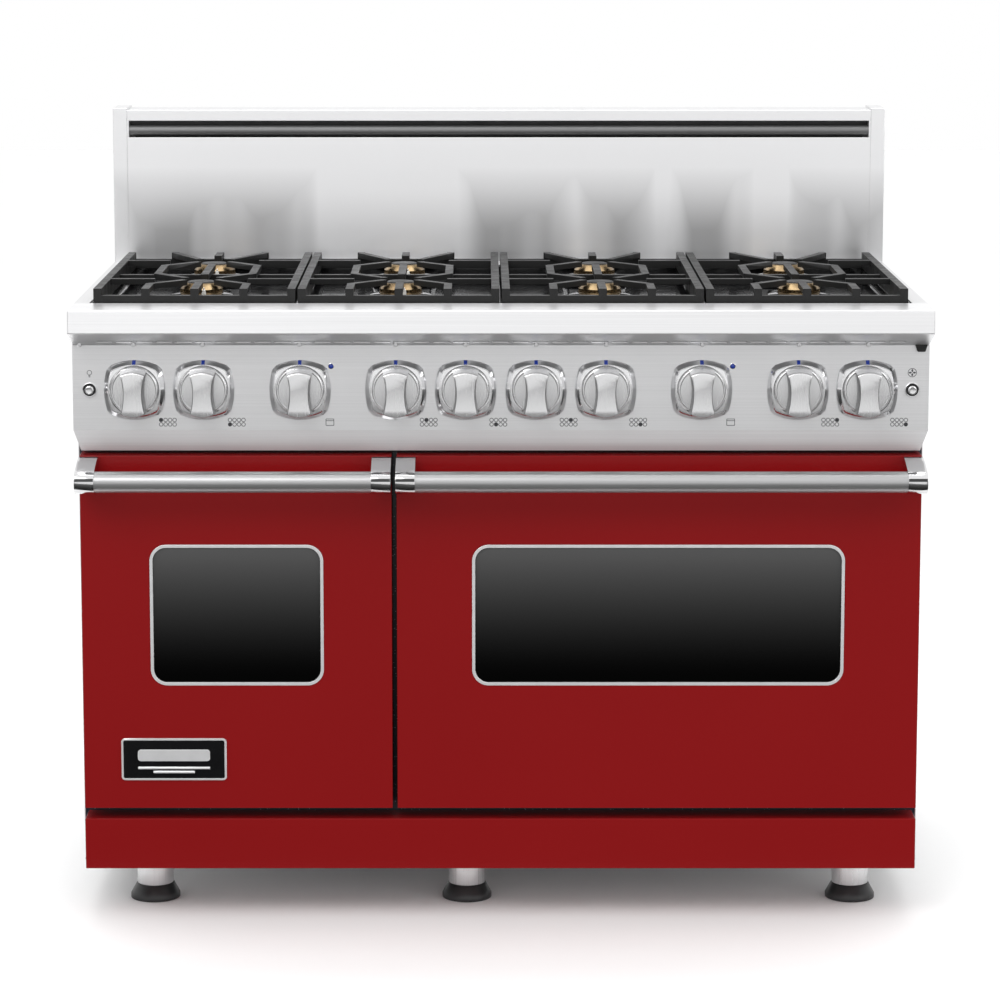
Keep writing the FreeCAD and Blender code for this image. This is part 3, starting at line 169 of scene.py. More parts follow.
def make_materials():
    made = {}

    red = shader("red_enamel", (0.22, 0.005, 0.006), roughness=0.22, Specular_IOR_Level=0.18)
    vary_color(red, noise(red, 2.2), (0.214, 0.0046, 0.0056), (0.226, 0.0052, 0.0062))
    bump(red, noise(red, 420, detail=1.0), 0.05, 0.0004)
    made["red_enamel"] = red

    made["stainless"] = brushed("stainless", (2.0, 300, 700), 0.86, (0.28, 0.34))
    made["stainless_deep"] = brushed("stainless_deep", (700, 2.0, 700), 0.74, (0.28, 0.34))
    made["stainless_tube"] = brushed("stainless_tube", (900, 900, 3), 0.74, (0.26, 0.34))

    # the backguard's front has painted reflection low down: soft dark streaks stand in for the grates' blurred
    # reflection, and fade out a little above the deck
    guard = brushed("stainless_upright", (500, 500, 2), 0.84, (0.30, 0.34))
    reflection_fade = (DECK_Z + 0.05, DECK_Z + 0.15)
    painted_reflection_streaks = remap(guard, noise(guard, 1.0, (9, 9, 0.8), 2.0), (0.36, 0.58), (0.0, 1.0))
    clear = combine(guard, "MAXIMUM", painted_reflection_streaks, remap(guard, height(guard), reflection_fade, (0.0, 1.0)))
    vary_color(guard, clear, grey(0.50), grey(0.94), (0.0, 1.0))
    made["stainless_upright"] = guard

    satin = brushed("stainless_satin", (2.0, 300, 300), 0.66, (0.50, 0.56))
    surface_of(satin).inputs["Metallic"].default_value = 0.0
    surface_of(satin).inputs["Specular IOR Level"].default_value = 0.2
    made["stainless_satin"] = satin

    bright = brushed("bright_trim", (60, 60, 60), 0.90, (0.14, 0.20))
    surface_of(bright).inputs["Metallic"].default_value = 0.5
    made["bright_trim"] = bright

    made["louvre_steel"] = brushed("louvre_steel", (3, 500, 500), 0.20, (0.42, 0.55))
    made["handle_steel"] = brushed("handle_steel", (3, 700, 700), 0.46, (0.30, 0.38))

    polished = shader("polished_steel", grey(0.72), 1.0, 0.12)
    vary_roughness(polished, noise(polished, 60), 0.10, 0.17)
    made["polished_steel"] = polished

    chrome = shader("chrome", grey(0.80), 1.0, 0.05)
    vary_roughness(chrome, noise(chrome, 90), 0.04, 0.08)
    made["chrome"] = chrome

    made["knob_steel"] = brushed("knob_steel", (600, 600, 12), 0.80, (0.20, 0.28))
    # a dark copy of the knob steel for the grip's side walls: painted shade along the grip's flanks
    made["knob_painted_shade"] = brushed("knob_painted_shade", (600, 600, 12), 0.22, (0.24, 0.34))

    iron = shader("cast_iron", (0.008, 0.008, 0.008), roughness=0.42, Specular_IOR_Level=0.3)
    grain = noise(iron, 620, detail=5.0)
    vary_roughness(iron, noise(iron, 45), 0.36, 0.52)
    vary_color(iron, grain, (0.006, 0.006, 0.006), (0.011, 0.011, 0.011))
    bump(iron, grain, 0.35, 0.0006)
    made["cast_iron"] = iron

    porcelain = shader("black_porcelain", (0.008, 0.008, 0.009), roughness=0.1,
                       Coat_Weight=0.8, Coat_Roughness=0.04)
    vary_roughness(porcelain, noise(porcelain, 25), 0.08, 0.16)
    bump(porcelain, noise(porcelain, 120), 0.06, 0.0006)
    made["black_porcelain"] = porcelain

    oven = shader("oven_porcelain", (0.02, 0.024, 0.036), roughness=0.22, Coat_Weight=0.4)
    distance, _ = cells(oven, 260)
    vary_color(oven, distance, (0.30, 0.32, 0.36), (0.016, 0.020, 0.032), (0.10, 0.17))
    bump(oven, noise(oven, 90), 0.05, 0.0008)
    made["oven_porcelain"] = oven

    zinc = shader("galvanised_steel", grey(0.5), 1.0, 0.4)
    distance, tint = cells(zinc, 55)
    vary_color(zinc, tint, grey(0.46), grey(0.54), (0.0, 1.0))
    vary_roughness(zinc, tint, 0.34, 0.50, (0.0, 1.0))
    made["galvanised_steel"] = zinc

    brass = shader("brass", (0.36, 0.24, 0.11), 1.0, 0.28)
    grain = noise(brass, 1.0, (300, 300, 1500))
    vary_color(brass, noise(brass, 40), (0.18, 0.125, 0.07), (0.33, 0.24, 0.13))
    vary_roughness(brass, grain, 0.22, 0.38)
    bump(brass, grain, 0.1, 0.0002)
    made["brass"] = brass

    glass = shader("glass", (0.006, 0.006, 0.007), roughness=0.05, Specular_IOR_Level=0.16)
    # painted reflection: the glass's colour runs from black at the bottom to grey at the top, standing in for
    # the floor and studio reflected in it
    trim_low, trim_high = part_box("window_trim_left")
    reflection_rise = remap(glass, height(glass), (trim_low.z, trim_high.z), (0.0, 1.0))
    curved_reflection_rise = combine(glass, "POWER", reflection_rise, 2.2)
    vary_color(glass, curved_reflection_rise, (0.0004, 0.0004, 0.0004), (0.092, 0.092, 0.092), (0.0, 1.0))
    vary_roughness(glass, noise(glass, 14), 0.04, 0.07)
    made["glass"] = glass

    lamp = shader("lamp_glass", (0.90, 0.88, 0.80), roughness=0.08, Transmission_Weight=0.6, IOR=1.47)
    vary_roughness(lamp, noise(lamp, 60), 0.05, 0.12)
    made["lamp_glass"] = lamp

    rubber = shader("black_rubber", (0.012, 0.012, 0.012), roughness=0.7)
    bump(rubber, noise(rubber, 900), 0.2, 0.0003)
    vary_roughness(rubber, noise(rubber, 80), 0.6, 0.8)
    made["black_rubber"] = rubber

    plastic = shader("black_plastic", (0.014, 0.014, 0.015), roughness=0.38)
    vary_roughness(plastic, noise(plastic, 70), 0.32, 0.46)
    bump(plastic, noise(plastic, 1500), 0.15, 0.0002)
    made["black_plastic"] = plastic

    ceramic = shader("ceramic", (0.80, 0.78, 0.72), roughness=0.25, Coat_Weight=0.4)
    vary_color(ceramic, noise(ceramic, 200), (0.74, 0.72, 0.66), (0.84, 0.82, 0.78))
    made["ceramic"] = ceramic

    badge = shader("badge_black", (0.004, 0.004, 0.005), roughness=0.16, Coat_Weight=0.7)
    vary_roughness(badge, noise(badge, 60), 0.12, 0.2)
    made["badge_black"] = badge

    seal = shader("woven_seal", (0.08, 0.08, 0.08), roughness=0.9, Sheen_Weight=0.3)
    weave = noise(seal, 1.0, (900, 900, 900), 1.0)
    vary_color(seal, weave, (0.05, 0.05, 0.05), (0.14, 0.14, 0.13))
    bump(seal, weave, 0.6, 0.001)
    made["woven_seal"] = seal

    ink = shader("printed_ink", (0.03, 0.03, 0.035), roughness=0.5)
    vary_roughness(ink, noise(ink, 300), 0.42, 0.58)
    made["printed_ink"] = ink

    blue = shader("blue_enamel", (0.010, 0.035, 0.30), roughness=0.2, Coat_Weight=0.6)
    vary_color(blue, noise(blue, 400), (0.008, 0.030, 0.26), (0.012, 0.045, 0.34))
    made["blue_enamel"] = blue
    return made


MATERIAL = make_materials()

# nodes whose shape is right already, with the finish each one shows
NODE_FINISH = {
    "stainless": ["landing_ledge", "control_panel"],
    "louvre_steel": ["backguard_bar"],
    "handle_steel": ["handle_bar_left", "handle_bar_right"],
    "stainless_upright": ["backguard_panel"],
    "stainless_tube": ["leg_sleeves"],
    "stainless_deep": ["side_panels", "cooktop_deck", "convection_fan"],
    "bright_trim": ["window_trim_left", "window_trim_right"],
    "polished_steel": ["handle_posts_left", "handle_posts_right"],
    "chrome": ["rack_guides"],
    "red_enamel": ["door_skin_left", "door_skin_right", "kick_panel"],
    "cast_iron": ["grate_1", "grate_2", "grate_3", "grate_4"],
    "black_porcelain": ["burner_pan"],
    "oven_porcelain": ["front_frame", "oven_liners", "fan_cover", "door_liner_left", "door_liner_right"],
    "galvanised_steel": ["back_panel", "base_pan", "gas_manifold", "oven_burners", "fan_motor",
                         "door_hinges_left", "door_hinges_right"],
    "glass": ["window_panes_left", "window_panes_right"],
    "lamp_glass": ["oven_lamps"],
    "black_plastic": ["levelling_feet"],
    "woven_seal": ["door_gaskets"],
}
# how far the edges of folded, cast or turned nodes are rounded
NODE_ROUNDING = {
    "landing_ledge": 0.0025, "backguard_panel": 0.0010, "side_panels": 0.0010,
    "cooktop_deck": 0.0008, "kick_panel": 0.0010, "door_skin_left": 0.0012, "door_skin_right": 0.0012,
    "handle_posts_left": 0.0015, "handle_posts_right": 0.0015, "window_trim_left": 0.0005,
    "window_trim_right": 0.0005, "burner_pan": 0.0020, "levelling_feet": 0.0012, "leg_sleeves": 0.0008,
    "grate_1": 0.0014, "grate_2": 0.0014, "grate_3": 0.0014, "grate_4": 0.0014,
}


def round_edges(item, radius):
    edge = item.modifiers.new("edge", "BEVEL")
    edge.width = radius
    edge.segments = 2
    edge.limit_method = "ANGLE"
    edge.angle_limit = SMOOTH_ANGLE
    edge.harden_normals = True


def finish_some_faces(item, finish, chosen):
    """Gives the faces that chosen(face) picks a second finish."""
    item.data.materials.append(MATERIAL[finish])
    for face in item.data.polygons:
        face.material_index = int(chosen(face))


def finish_cad_nodes():
    for finish, names in NODE_FINISH.items():
        for name in names:
            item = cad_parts[name]
            item.data.materials.clear()
            item.data.materials.append(MATERIAL[finish])
    # the control panel's sloped lip, then all of the backguard but its front
    finish_some_faces(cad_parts["control_panel"], "stainless_satin",
                      lambda face: face.normal.y < -0.3 and face.normal.z < -0.3)
    finish_some_faces(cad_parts["backguard_panel"], "stainless_deep", lambda face: face.normal.y > -0.5)
    for name, radius in NODE_ROUNDING.items():
        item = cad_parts[name]
        weld = item.modifiers.new("weld", "WELD")
        weld.merge_threshold = 0.00002
        round_edges(item, radius)


# ---------------------------------------------------------------- mesh helpers

class Shape:
    """Collects closed forms into one mesh."""

    def __init__(self):
        self.mesh = bmesh.new()

    def loft(self, rings, loop=False):
        """Skins rings of equally many points; the ends are capped unless the rings run in a loop."""
        rows = [[self.mesh.verts.new(point) for point in ring] for ring in rings]
        pairs = list(zip(rows, rows[1:]))
        if loop:
            pairs.append((rows[-1], rows[0]))
        for low, high in pairs:
            for index in range(len(low)):
                after = (index + 1) % len(low)
                self.mesh.faces.new((low[index], low[after], high[after], high[index]))
        if not loop:
            self.mesh.faces.new(list(reversed(rows[0])))
            self.mesh.faces.new(rows[-1])

    def box(self, low, high):
        """A block between two corners."""
        corners = [(low[0], low[1]), (high[0], low[1]), (high[0], high[1]), (low[0], high[1])]
        self.loft([[Vector((x, y, z)) for x, y in corners] for z in (low[2], high[2])])

    def finish(self, name, finish, body, slot, rounding=0.0, sharp=SMOOTH_ANGLE):
        """Makes the object: its finish and the body it rides on; the slot argument is not used."""
        bmesh.ops.recalc_face_normals(self.mesh, faces=self.mesh.faces)
        data = bpy.data.meshes.new(name)
        self.mesh.to_mesh(data)
        self.mesh.free()
        data.shade_smooth()
        data.set_sharp_from_angle(angle=sharp)
        data.materials.append(MATERIAL[finish])
        item = bpy.data.objects.new(name, data)
        scene.collection.objects.link(item)
        if rounding:
            round_edges(item, rounding)
        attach(item, body)
        return item


def facing(centre):
    """Places (u, v, w) about a point of the front: u to the right, v up, w out of the front."""
    def place(u, v, w):
        return Vector((centre[0] + u, centre[1] - w, centre[2] + v))
    return place


def upright(centre):
    """Places (u, v, w) about a point of the deck: u to the right, v to the back, w up."""
    def place(u, v, w):
        return Vector((centre[0] + u, centre[1] + v, centre[2] + w))
    return place


def circle(radius, count=48):
    return [(radius * math.cos(math.tau * step / count), radius * math.sin(math.tau * step / count))
            for step in range(count)]


def rounded_rectangle(half_u, half_v, corner, steps=8):
    points = []
    for quarter, (sign_u, sign_v) in enumerate(((1, 1), (-1, 1), (-1, -1), (1, -1))):
        for step in range(steps + 1):
            turn = math.pi / 2 * (quarter + step / steps)
            points.append((sign_u * (half_u - corner) + corner * math.cos(turn),
                           sign_v * (half_v - corner) + corner * math.sin(turn)))
    return points


def stack(place, *levels):
    """Rings for a loft, one for each (outline, level)."""
    return [[place(u, v, level) for u, v in outline] for outline, level in levels]


def turned(shape, place, profile, count=48):
    """A turned form from (radius, level) pairs."""
    shape.loft(stack(place, *((circle(radius, count), level) for radius, level in profile)))


def turned_ring(shape, place, profile, count=48):
    """A closed turned ring from a loop of (radius, level) pairs."""
    shape.loft(stack(place, *((circle(radius, count), level) for radius, level in profile)), loop=True)


def flat_ring(shape, place, outer, inner, level, thickness):
    """A flat ring between two outlines."""
    shape.loft(stack(place, (outer, level), (outer, level + thickness),
                     (inner, level + thickness), (inner, level)), loop=True)


def tube(shape, points, radius, loop=False, count=8):
    """A round wire along points; its section stays square to the path."""
    rings = []
    total = len(points)
    for index, point in enumerate(points):
        before = points[index - 1] if loop or index else point
        after = points[(index + 1) % total] if loop or index < total - 1 else point
        along = (after - before).normalized()
        side = along.cross(Vector((0, 0, 1)))
        if side.length < 0.1:
            side = along.cross(Vector((0, 1, 0)))
        side.normalize()
        up = side.cross(along)
        rings.append([point + side * u + up * v for u, v in circle(radius, count)])
    shape.loft(rings, loop)


# ---------------------------------------------------------------- knobs, bezels and buttons

PANEL_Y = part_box("control_panel")[0].y
KNOBS = range(1, 11)
OVEN_KNOBS = (3, 8)
BEZEL_REACH = 0.009
GRIP_DEPTH = 0.024


def panel_centre(node):
    """The point of the control panel's front behind the middle of a knob or button."""
    low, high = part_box(node)
    return Vector(((low.x + high.x) / 2, PANEL_Y, (low.z + high.z) / 2))


def knob_centre(number):
    return panel_centre(f"knob_{number}")


def grip_outline(end, waist, top, bottom, arc=0.0042, steps=12):
    """The waisted grip seen from the front, between two gently bowed ends."""
    points = []
    for side in (1, -1):
        high, low = (top, bottom) if side > 0 else (bottom, top)
        for step in range(steps):
            share = step / steps
            swell = (2 * share - 1) ** 2
            points.append((side * (waist + (end - waist) * swell), high + (low - high) * share))
        for step in range(steps):
            u = side * end * (1 - 2 * step / steps)
            points.append((u, low - side * arc * (1 - (u / end) ** 2)))
    return points


def make_knob(number):
    node = f"knob_{number}"
    low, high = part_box(node)
    radius = (high.x - low.x) / 2
    reach = PANEL_Y - low.y
    disc = reach - GRIP_DEPTH
    place = facing(knob_centre(number))
    shape = Shape()
    turned(shape, place, [
        (0.0095, -0.007), (0.0095, 0.001), (radius - 0.006, 0.0012), (radius - 0.0008, 0.0022),
        (radius, 0.0034), (radius, disc - 0.0022), (radius - 0.0006, disc - 0.0008), (radius - 0.0020, disc),
        (radius - 0.0032, disc), (radius - 0.0040, disc - 0.0006), (radius * 0.5, disc - 0.0002)], 72)
    shape.loft(stack(
        place,
        (grip_outline(0.0188, 0.0148, 0.0290, -0.0300), disc - 0.0012),
        (grip_outline(0.0182, 0.0142, 0.0284, -0.0304), disc + 0.0012),
        (grip_outline(0.0176, 0.0134, 0.0252, -0.0310), reach - 0.0030),
        (grip_outline(0.0172, 0.0130, 0.0246, -0.0310), reach - 0.0012),
        (grip_outline(0.0166, 0.0124, 0.0238, -0.0304), reach - 0.0003),
        (grip_outline(0.0156, 0.0114, 0.0226, -0.0292), reach),
    ))
    cast = shape.finish(f"knob_{number}_cast", "knob_steel", f"knob_{number}_body", "polished_steel")
    disc_face = PANEL_Y - disc
    # the grip's side walls take the dark copy of the knob steel, as painted shade
    finish_some_faces(cast, "knob_painted_shade", lambda face: face.center.y < disc_face and abs(face.normal.x) > 0.75)
    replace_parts(cast, node)


def bezel_outline(inset, steps=10):
    """Four bowed sides joined by straight mitres at the corners."""
    side_u, side_v, mitre_u, mitre_v = 0.0435, 0.0430, 0.0388, 0.0358
    run_u, run_v = 0.0330, 0.0300
    points = []
    for turn in range(4):
        upright_side = turn % 2 == 0
        half, bowed, run = (side_u, mitre_u, run_v) if upright_side else (side_v, mitre_v, run_u)
        run -= inset * 0.45
        sign = 1 if turn < 2 else -1
        for step in range(steps + 1):
            along = run * (2 * step / steps - 1) * (1 if turn in (0, 3) else -1)
            out = (half - (half - bowed) * (along / run) ** 2 - inset) * sign
            points.append((out, along) if upright_side else (along, out))
    return points


def bezel_opening(radius):
    """A circle with one point in line with each point of the bezel's outline."""
    turns = [math.atan2(v, u) for u, v in bezel_outline(0.0)]
    return [(radius * math.cos(turn), radius * math.sin(turn)) for turn in turns]


def make_bezels():
    plate = BEZEL_REACH - 0.0006
    opening = 0.0356
    bezels = []
    for number in KNOBS:
        place = facing(knob_centre(number))
        shape = Shape()
        shape.loft(stack(
            place,
            (bezel_outline(0.0), 0.0), (bezel_outline(0.0), 0.0016), (bezel_outline(0.0006), 0.0024),
            (bezel_outline(0.0052), BEZEL_REACH - 0.0010), (bezel_outline(0.0060), BEZEL_REACH),
            (bezel_outline(0.0066), BEZEL_REACH), (bezel_outline(0.0070), plate),
            (bezel_opening(opening + 0.0003), plate), (bezel_opening(opening), plate - 0.0006),
            (bezel_opening(opening), 0.0012)))
        bezels.append(shape.finish(f"bezel_{number}", "chrome", "chassis", "polished_steel",
                                   sharp=BEZEL_SHARP_ANGLE))
        make_index_mark(number, place)
    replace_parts(bezels[0], "control_bezels")


def make_index_mark(number, place):
    """The blue mark on the sloped top of a bezel."""
    half_wide, half_thick = 0.0025, 0.0006
    slope = [(0.0426, 0.0026), (0.0372, 0.0086)]
    rings = []
    for u in (-half_wide, half_wide):
        ring = [place(u, v, w + half_thick) for v, w in slope]
        ring += [place(u, v, w - half_thick) for v, w in reversed(slope)]
        rings.append(ring)
    mark = Shape()
    mark.loft(rings)
    mark.finish(f"index_mark_{number}", "blue_enamel", "chassis", "polished_steel")


def make_buttons():
    for tag in ("light", "fan"):
        node = f"{tag}_switch_button"
        low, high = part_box(node)
        radius = (high.x - low.x) / 2
        reach = PANEL_Y - low.y
        place = facing(panel_centre(node))
        button = Shape()
        turned(button, place, [(radius, -0.010), (radius, reach - 0.0016), (radius - 0.0006, reach - 0.0005),
                               (radius - 0.0018, reach), (radius * 0.4, reach - 0.0006)], 40)
        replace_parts(button.finish(f"{tag}_button_cap", "knob_steel", f"{tag}_button", "stainless"), node)
        rim = Shape()
        turned_ring(rim, place, [(0.0103, 0.0), (0.0103, 0.0028), (0.0096, 0.0042), (0.0088, 0.0040),
                                 (0.0083, 0.0024), (0.0083, 0.0)])
        rim.finish(f"{tag}_button_rim", "chrome", "chassis", "polished_steel")
        collar = Shape()
        turned_ring(collar, place, [(0.0083, 0.0), (0.0083, 0.0030), (0.0078, 0.0036), (0.0070, 0.0034),
                                    (0.0069, 0.0)])
        collar.finish(f"{tag}_button_collar", "black_plastic", "chassis", "black_plastic")


# ---------------------------------------------------------------- printed icons and lamps

INK = 0.00012               # thickness of the print
LINE = 0.0008               # width of its lines
ICON_DROP = -0.0466         # from a knob's middle down to its icon
DOTS_RIGHT = 0.0465         # from a burner knob's middle across to its dots
DOT_PITCH = 0.0064
DOT_RADIUS = 0.0030
OVEN_ICON_RIGHT = 0.042
OVEN_ICON_HALF = (0.006, 0.005)
BUTTON_ICON_RISE = 0.0245
LAMP_OFFSET = Vector((0.044, 0, 0.034))     # from an oven knob's middle to its indicator lamp
# which of the two rows and four columns of burners each burner knob works; row 0 is the rear
BURNER_OF_KNOB = {1: (0, 0), 2: (1, 0), 4: (0, 1), 5: (1, 1), 6: (0, 2), 7: (1, 2), 9: (0, 3), 10: (1, 3)}


def disc_mark(shape, place, radius, count=20):
    shape.loft(stack(place, (circle(radius, count), 0.0), (circle(radius, count), INK)))


def ring_mark(shape, place, radius, count=20):
    flat_ring(shape, place, circle(radius, count), circle(radius - LINE, count), 0.0, INK)


def bar_mark(shape, place, half_u, half_v, u=0.0, v=0.0):
    corners = [(u - half_u, v - half_v), (u + half_u, v - half_v),
               (u + half_u, v + half_v), (u - half_u, v + half_v)]
    shape.loft(stack(place, (corners, 0.0), (corners, INK)))


def make_icons():
    shape = Shape()
    for number, chosen in BURNER_OF_KNOB.items():
        centre = knob_centre(number)
        for row in range(2):
            for column in range(4):
                middle = centre + Vector((DOTS_RIGHT + DOT_PITCH * (column - 1.5), 0,
                                          ICON_DROP - DOT_PITCH * (row - 0.5)))
                mark = disc_mark if (row, column) == chosen else ring_mark
                mark(shape, facing(middle), DOT_RADIUS)
    half_u, half_v = OVEN_ICON_HALF
    for number in OVEN_KNOBS:
        place = facing(knob_centre(number) + Vector((OVEN_ICON_RIGHT, 0, ICON_DROP)))
        outline = rounded_rectangle(half_u, half_v, 0.0008, 2)
        opening = rounded_rectangle(half_u - LINE, half_v - LINE, 0.0004, 2)
        flat_ring(shape, place, outline, opening, 0.0, INK)
        bar_mark(shape, place, half_u - LINE, LINE / 2, v=0.0022)
    for node, draw in (("light_switch_button", draw_bulb), ("fan_switch_button", draw_fan)):
        draw(shape, facing(panel_centre(node) + Vector((0, 0, BUTTON_ICON_RISE))))
    shape.finish("panel_icons", "printed_ink", "chassis", "black_plastic")


def draw_bulb(shape, place):
    flat_ring(shape, place, circle(0.0036, 24), circle(0.0029, 24), 0.0, INK)
    bar_mark(shape, place, 0.0014, 0.0005, v=-0.0044)
    bar_mark(shape, place, 0.0011, 0.0005, v=-0.0060)


def draw_fan(shape, place):
    blades = 4
    for blade in range(blades):
        turn = math.tau * blade / blades
        petal = []
        for u, v in circle(0.0017, 16):
            along, across = 0.0030 + u * 1.2, v * 0.75
            petal.append((along * math.cos(turn) - across * math.sin(turn),
                          along * math.sin(turn) + across * math.cos(turn)))
        shape.loft(stack(place, (petal, 0.0), (petal, INK)))
    ring_mark(shape, place, 0.0064, 32)


def make_indicator_lamps():
    for number in OVEN_KNOBS:
        place = facing(knob_centre(number) + LAMP_OFFSET)
        rim = Shape()
        turned_ring(rim, place, [(0.0042, 0.0), (0.0041, 0.0010), (0.0036, 0.0012), (0.0033, 0.0008),
                                 (0.0033, 0.0)], 32)
        rim.finish(f"indicator_rim_{number}", "chrome", "chassis", "polished_steel")
        lens = Shape()
        turned(lens, place, [(0.0033, 0.0), (0.0032, 0.0010), (0.0026, 0.0018), (0.0014, 0.0023),
                             (0.0004, 0.0024)], 32)
        lens.finish(f"indicator_lens_{number}", "blue_enamel", "chassis", "lamp_glass")


# ---------------------------------------------------------------- doors

def make_bracket_groove_shades():
    """A black strip across the front of each handle bracket, just above its barrel's middle: painted shade
    standing in for the groove there.
    """
    groove_angles = (26, 21, 16, 11)        # degrees above the barrel's middle
    depth, proud, end_gap = 0.0008, 0.00015, 0.0004
    for side, body in (("left", "door_left"), ("right", "door_right")):
        bar_low, bar_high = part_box(f"handle_bar_{side}")
        post_low, post_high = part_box(f"handle_posts_{side}")
        middle_y, middle_z = (bar_low.y + bar_high.y) / 2, (bar_low.z + bar_high.z) / 2
        radius = middle_y - post_low.y
        section = []
        for reach, angles in ((radius - depth, groove_angles), (radius + proud, groove_angles[::-1])):
            for angle in angles:
                turn = math.radians(angle)
                section.append((middle_y - reach * math.cos(turn), middle_z + reach * math.sin(turn)))
        groove_shades = Shape()
        for start, end in ((post_low.x, bar_low.x), (bar_high.x, post_high.x)):
            groove_shades.loft([[Vector((x, y, z)) for y, z in section] for x in (start + end_gap, end - end_gap)])
        groove_shades.finish(f"bracket_groove_shades_{side}", "black_plastic", body, "black_plastic")


# ---------------------------------------------------------------- badge

def make_badge():
    low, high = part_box("name_badge")
    middle = Vector(((low.x + high.x) / 2, high.y, (low.z + high.z) / 2))
    half_u, half_v = (high.x - low.x) / 2, (high.z - low.z) / 2
    thick = high.y - low.y
    place = facing(middle)
    corner = 0.0055
    border = 0.0032

    def outline(inset, steps=6):
        return rounded_rectangle(half_u - inset, half_v - inset, corner - min(inset, corner * 0.7), steps)

    rim = Shape()
    rim.loft(stack(place, (outline(0), 0.0), (outline(0), thick * 0.6), (outline(0.0010), thick),
                   (outline(border - 0.0006), thick), (outline(border), thick * 0.7), (outline(border), 0.0)),
             loop=True)
    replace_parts(rim.finish("badge_rim", "bright_trim", "door_left", "badge_black"), "name_badge")
    field = Shape()
    field.loft(stack(place, (outline(border), 0.0), (outline(border), thick * 0.72)))
    field.finish("badge_field", "badge_black", "door_left", "badge_black")
    bars = Shape()
    # half the width and height of each bar, and its rise above the badge's middle
    for half_bar, half_tall, v in ((0.052, 0.0085, 0.0060), (0.052, 0.0016, -0.0125), (0.030, 0.0016, -0.0185)):
        bar_place = facing(middle + Vector((0, -thick * 0.7, v)))
        big = rounded_rectangle(half_bar, half_tall, half_tall * 0.5, 4)
        small = rounded_rectangle(half_bar - 0.0005, half_tall - 0.0005, half_tall * 0.4, 4)
        bars.loft(stack(bar_place, (big, 0.0), (big, 0.0005), (small, 0.0009)))
    bars.finish("badge_bars", "bright_trim", "door_left", "badge_black")


# ---------------------------------------------------------------- burners

def burner_places():
    """The middles of the eight burners, four columns by two rows."""
    low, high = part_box("burner_heads")
    base_radius = 0.048
    for column in range(1, 5):
        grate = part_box(f"grate_{column}")
        x = (grate[0].x + grate[1].x) / 2
        for row, y in (("front", low.y + base_radius), ("rear", high.y - base_radius)):
            yield f"{column}_{row}", Vector((x, y, 0))


PORTS = 24
FACETS = PORTS * 4
PAN_DEPTH = 0.018           # from the deck's top down to the burner pan's floor
IGNITER_OFFSET = Vector((0.006, -0.0355, 0))


def port_ring(place, radius, depth, level):
    """A ring whose every fourth facet is set in, for a burner port."""
    points = []
    for step in range(FACETS):
        turn = math.tau * step / FACETS
        reach = radius - depth if step % 4 in (0, 1) else radius
        points.append(place(reach * math.cos(turn), reach * math.sin(turn), level))
    return points


def make_burners():
    deck = DECK_Z
    pan_floor = deck - PAN_DEPTH
    for tag, middle in burner_places():
        place = upright(middle)
        head = Shape()
        rings = stack(place, *((circle(radius, FACETS), level) for radius, level in (
            (0.0318, pan_floor + 0.014), (0.0318, deck - 0.0010), (0.0315, deck + 0.0006),
            (0.0310, deck + 0.0010))))
        rings += [port_ring(place, 0.0310, depth, deck + level) for depth, level in (
            (0.0, 0.0020), (0.0, 0.0026), (0.0035, 0.0028), (0.0035, 0.0052), (0.0, 0.0054), (0.0, 0.0064))]
        rings += stack(place, *((circle(radius, FACETS), deck + level) for radius, level in (
            (0.0300, 0.0074), (0.0240, 0.0132), (0.0232, 0.0146), (0.0222, 0.0150), (0.0214, 0.0146),
            (0.0210, 0.0120))))
        head.loft(rings)
        piece = head.finish(f"burner_crown_{tag}", "brass", "chassis", "brass")
        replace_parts(piece, "burner_heads")
        base = Shape()
        turned_ring(base, place, [
            (0.0318, pan_floor + 0.0006), (0.0500, pan_floor + 0.0006), (0.0502, pan_floor + 0.0030),
            (0.0478, pan_floor + 0.0080), (0.0470, pan_floor + 0.0125), (0.0455, pan_floor + 0.0150),
            (0.0430, pan_floor + 0.0158), (0.0380, pan_floor + 0.0168), (0.0325, pan_floor + 0.0176),
            (0.0318, pan_floor + 0.0170)], 64)
        base.finish(f"burner_base_{tag}", "black_porcelain", "chassis", "black_porcelain")
        cap = Shape()
        turned(cap, place, [(0.0205, deck + 0.0120), (0.0208, deck + 0.0145), (0.0200, deck + 0.0160),
                            (0.0180, deck + 0.0167), (0.0100, deck + 0.0170), (0.0020, deck + 0.0170)], 48)
        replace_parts(cap.finish(f"burner_cap_{tag}", "cast_iron", "chassis", "cast_iron"), "burner_caps")
        spark = Shape()
        spark_place = upright(middle + IGNITER_OFFSET)
        turned(spark, spark_place, [(0.0032, pan_floor + 0.014), (0.0032, deck + 0.0030),
                                    (0.0026, deck + 0.0046), (0.0026, deck + 0.0070),
                                    (0.0018, deck + 0.0078)], 20)
        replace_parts(spark.finish(f"igniter_{tag}", "ceramic", "chassis", "ceramic"), "burner_igniters")
        tip = Shape()
        turned(tip, spark_place, [(0.0011, deck + 0.0070), (0.0011, deck + 0.0098),
                                  (0.0004, deck + 0.0106)], 12)
        tip.finish(f"igniter_tip_{tag}", "chrome", "chassis", "polished_steel")


# ---------------------------------------------------------------- racks

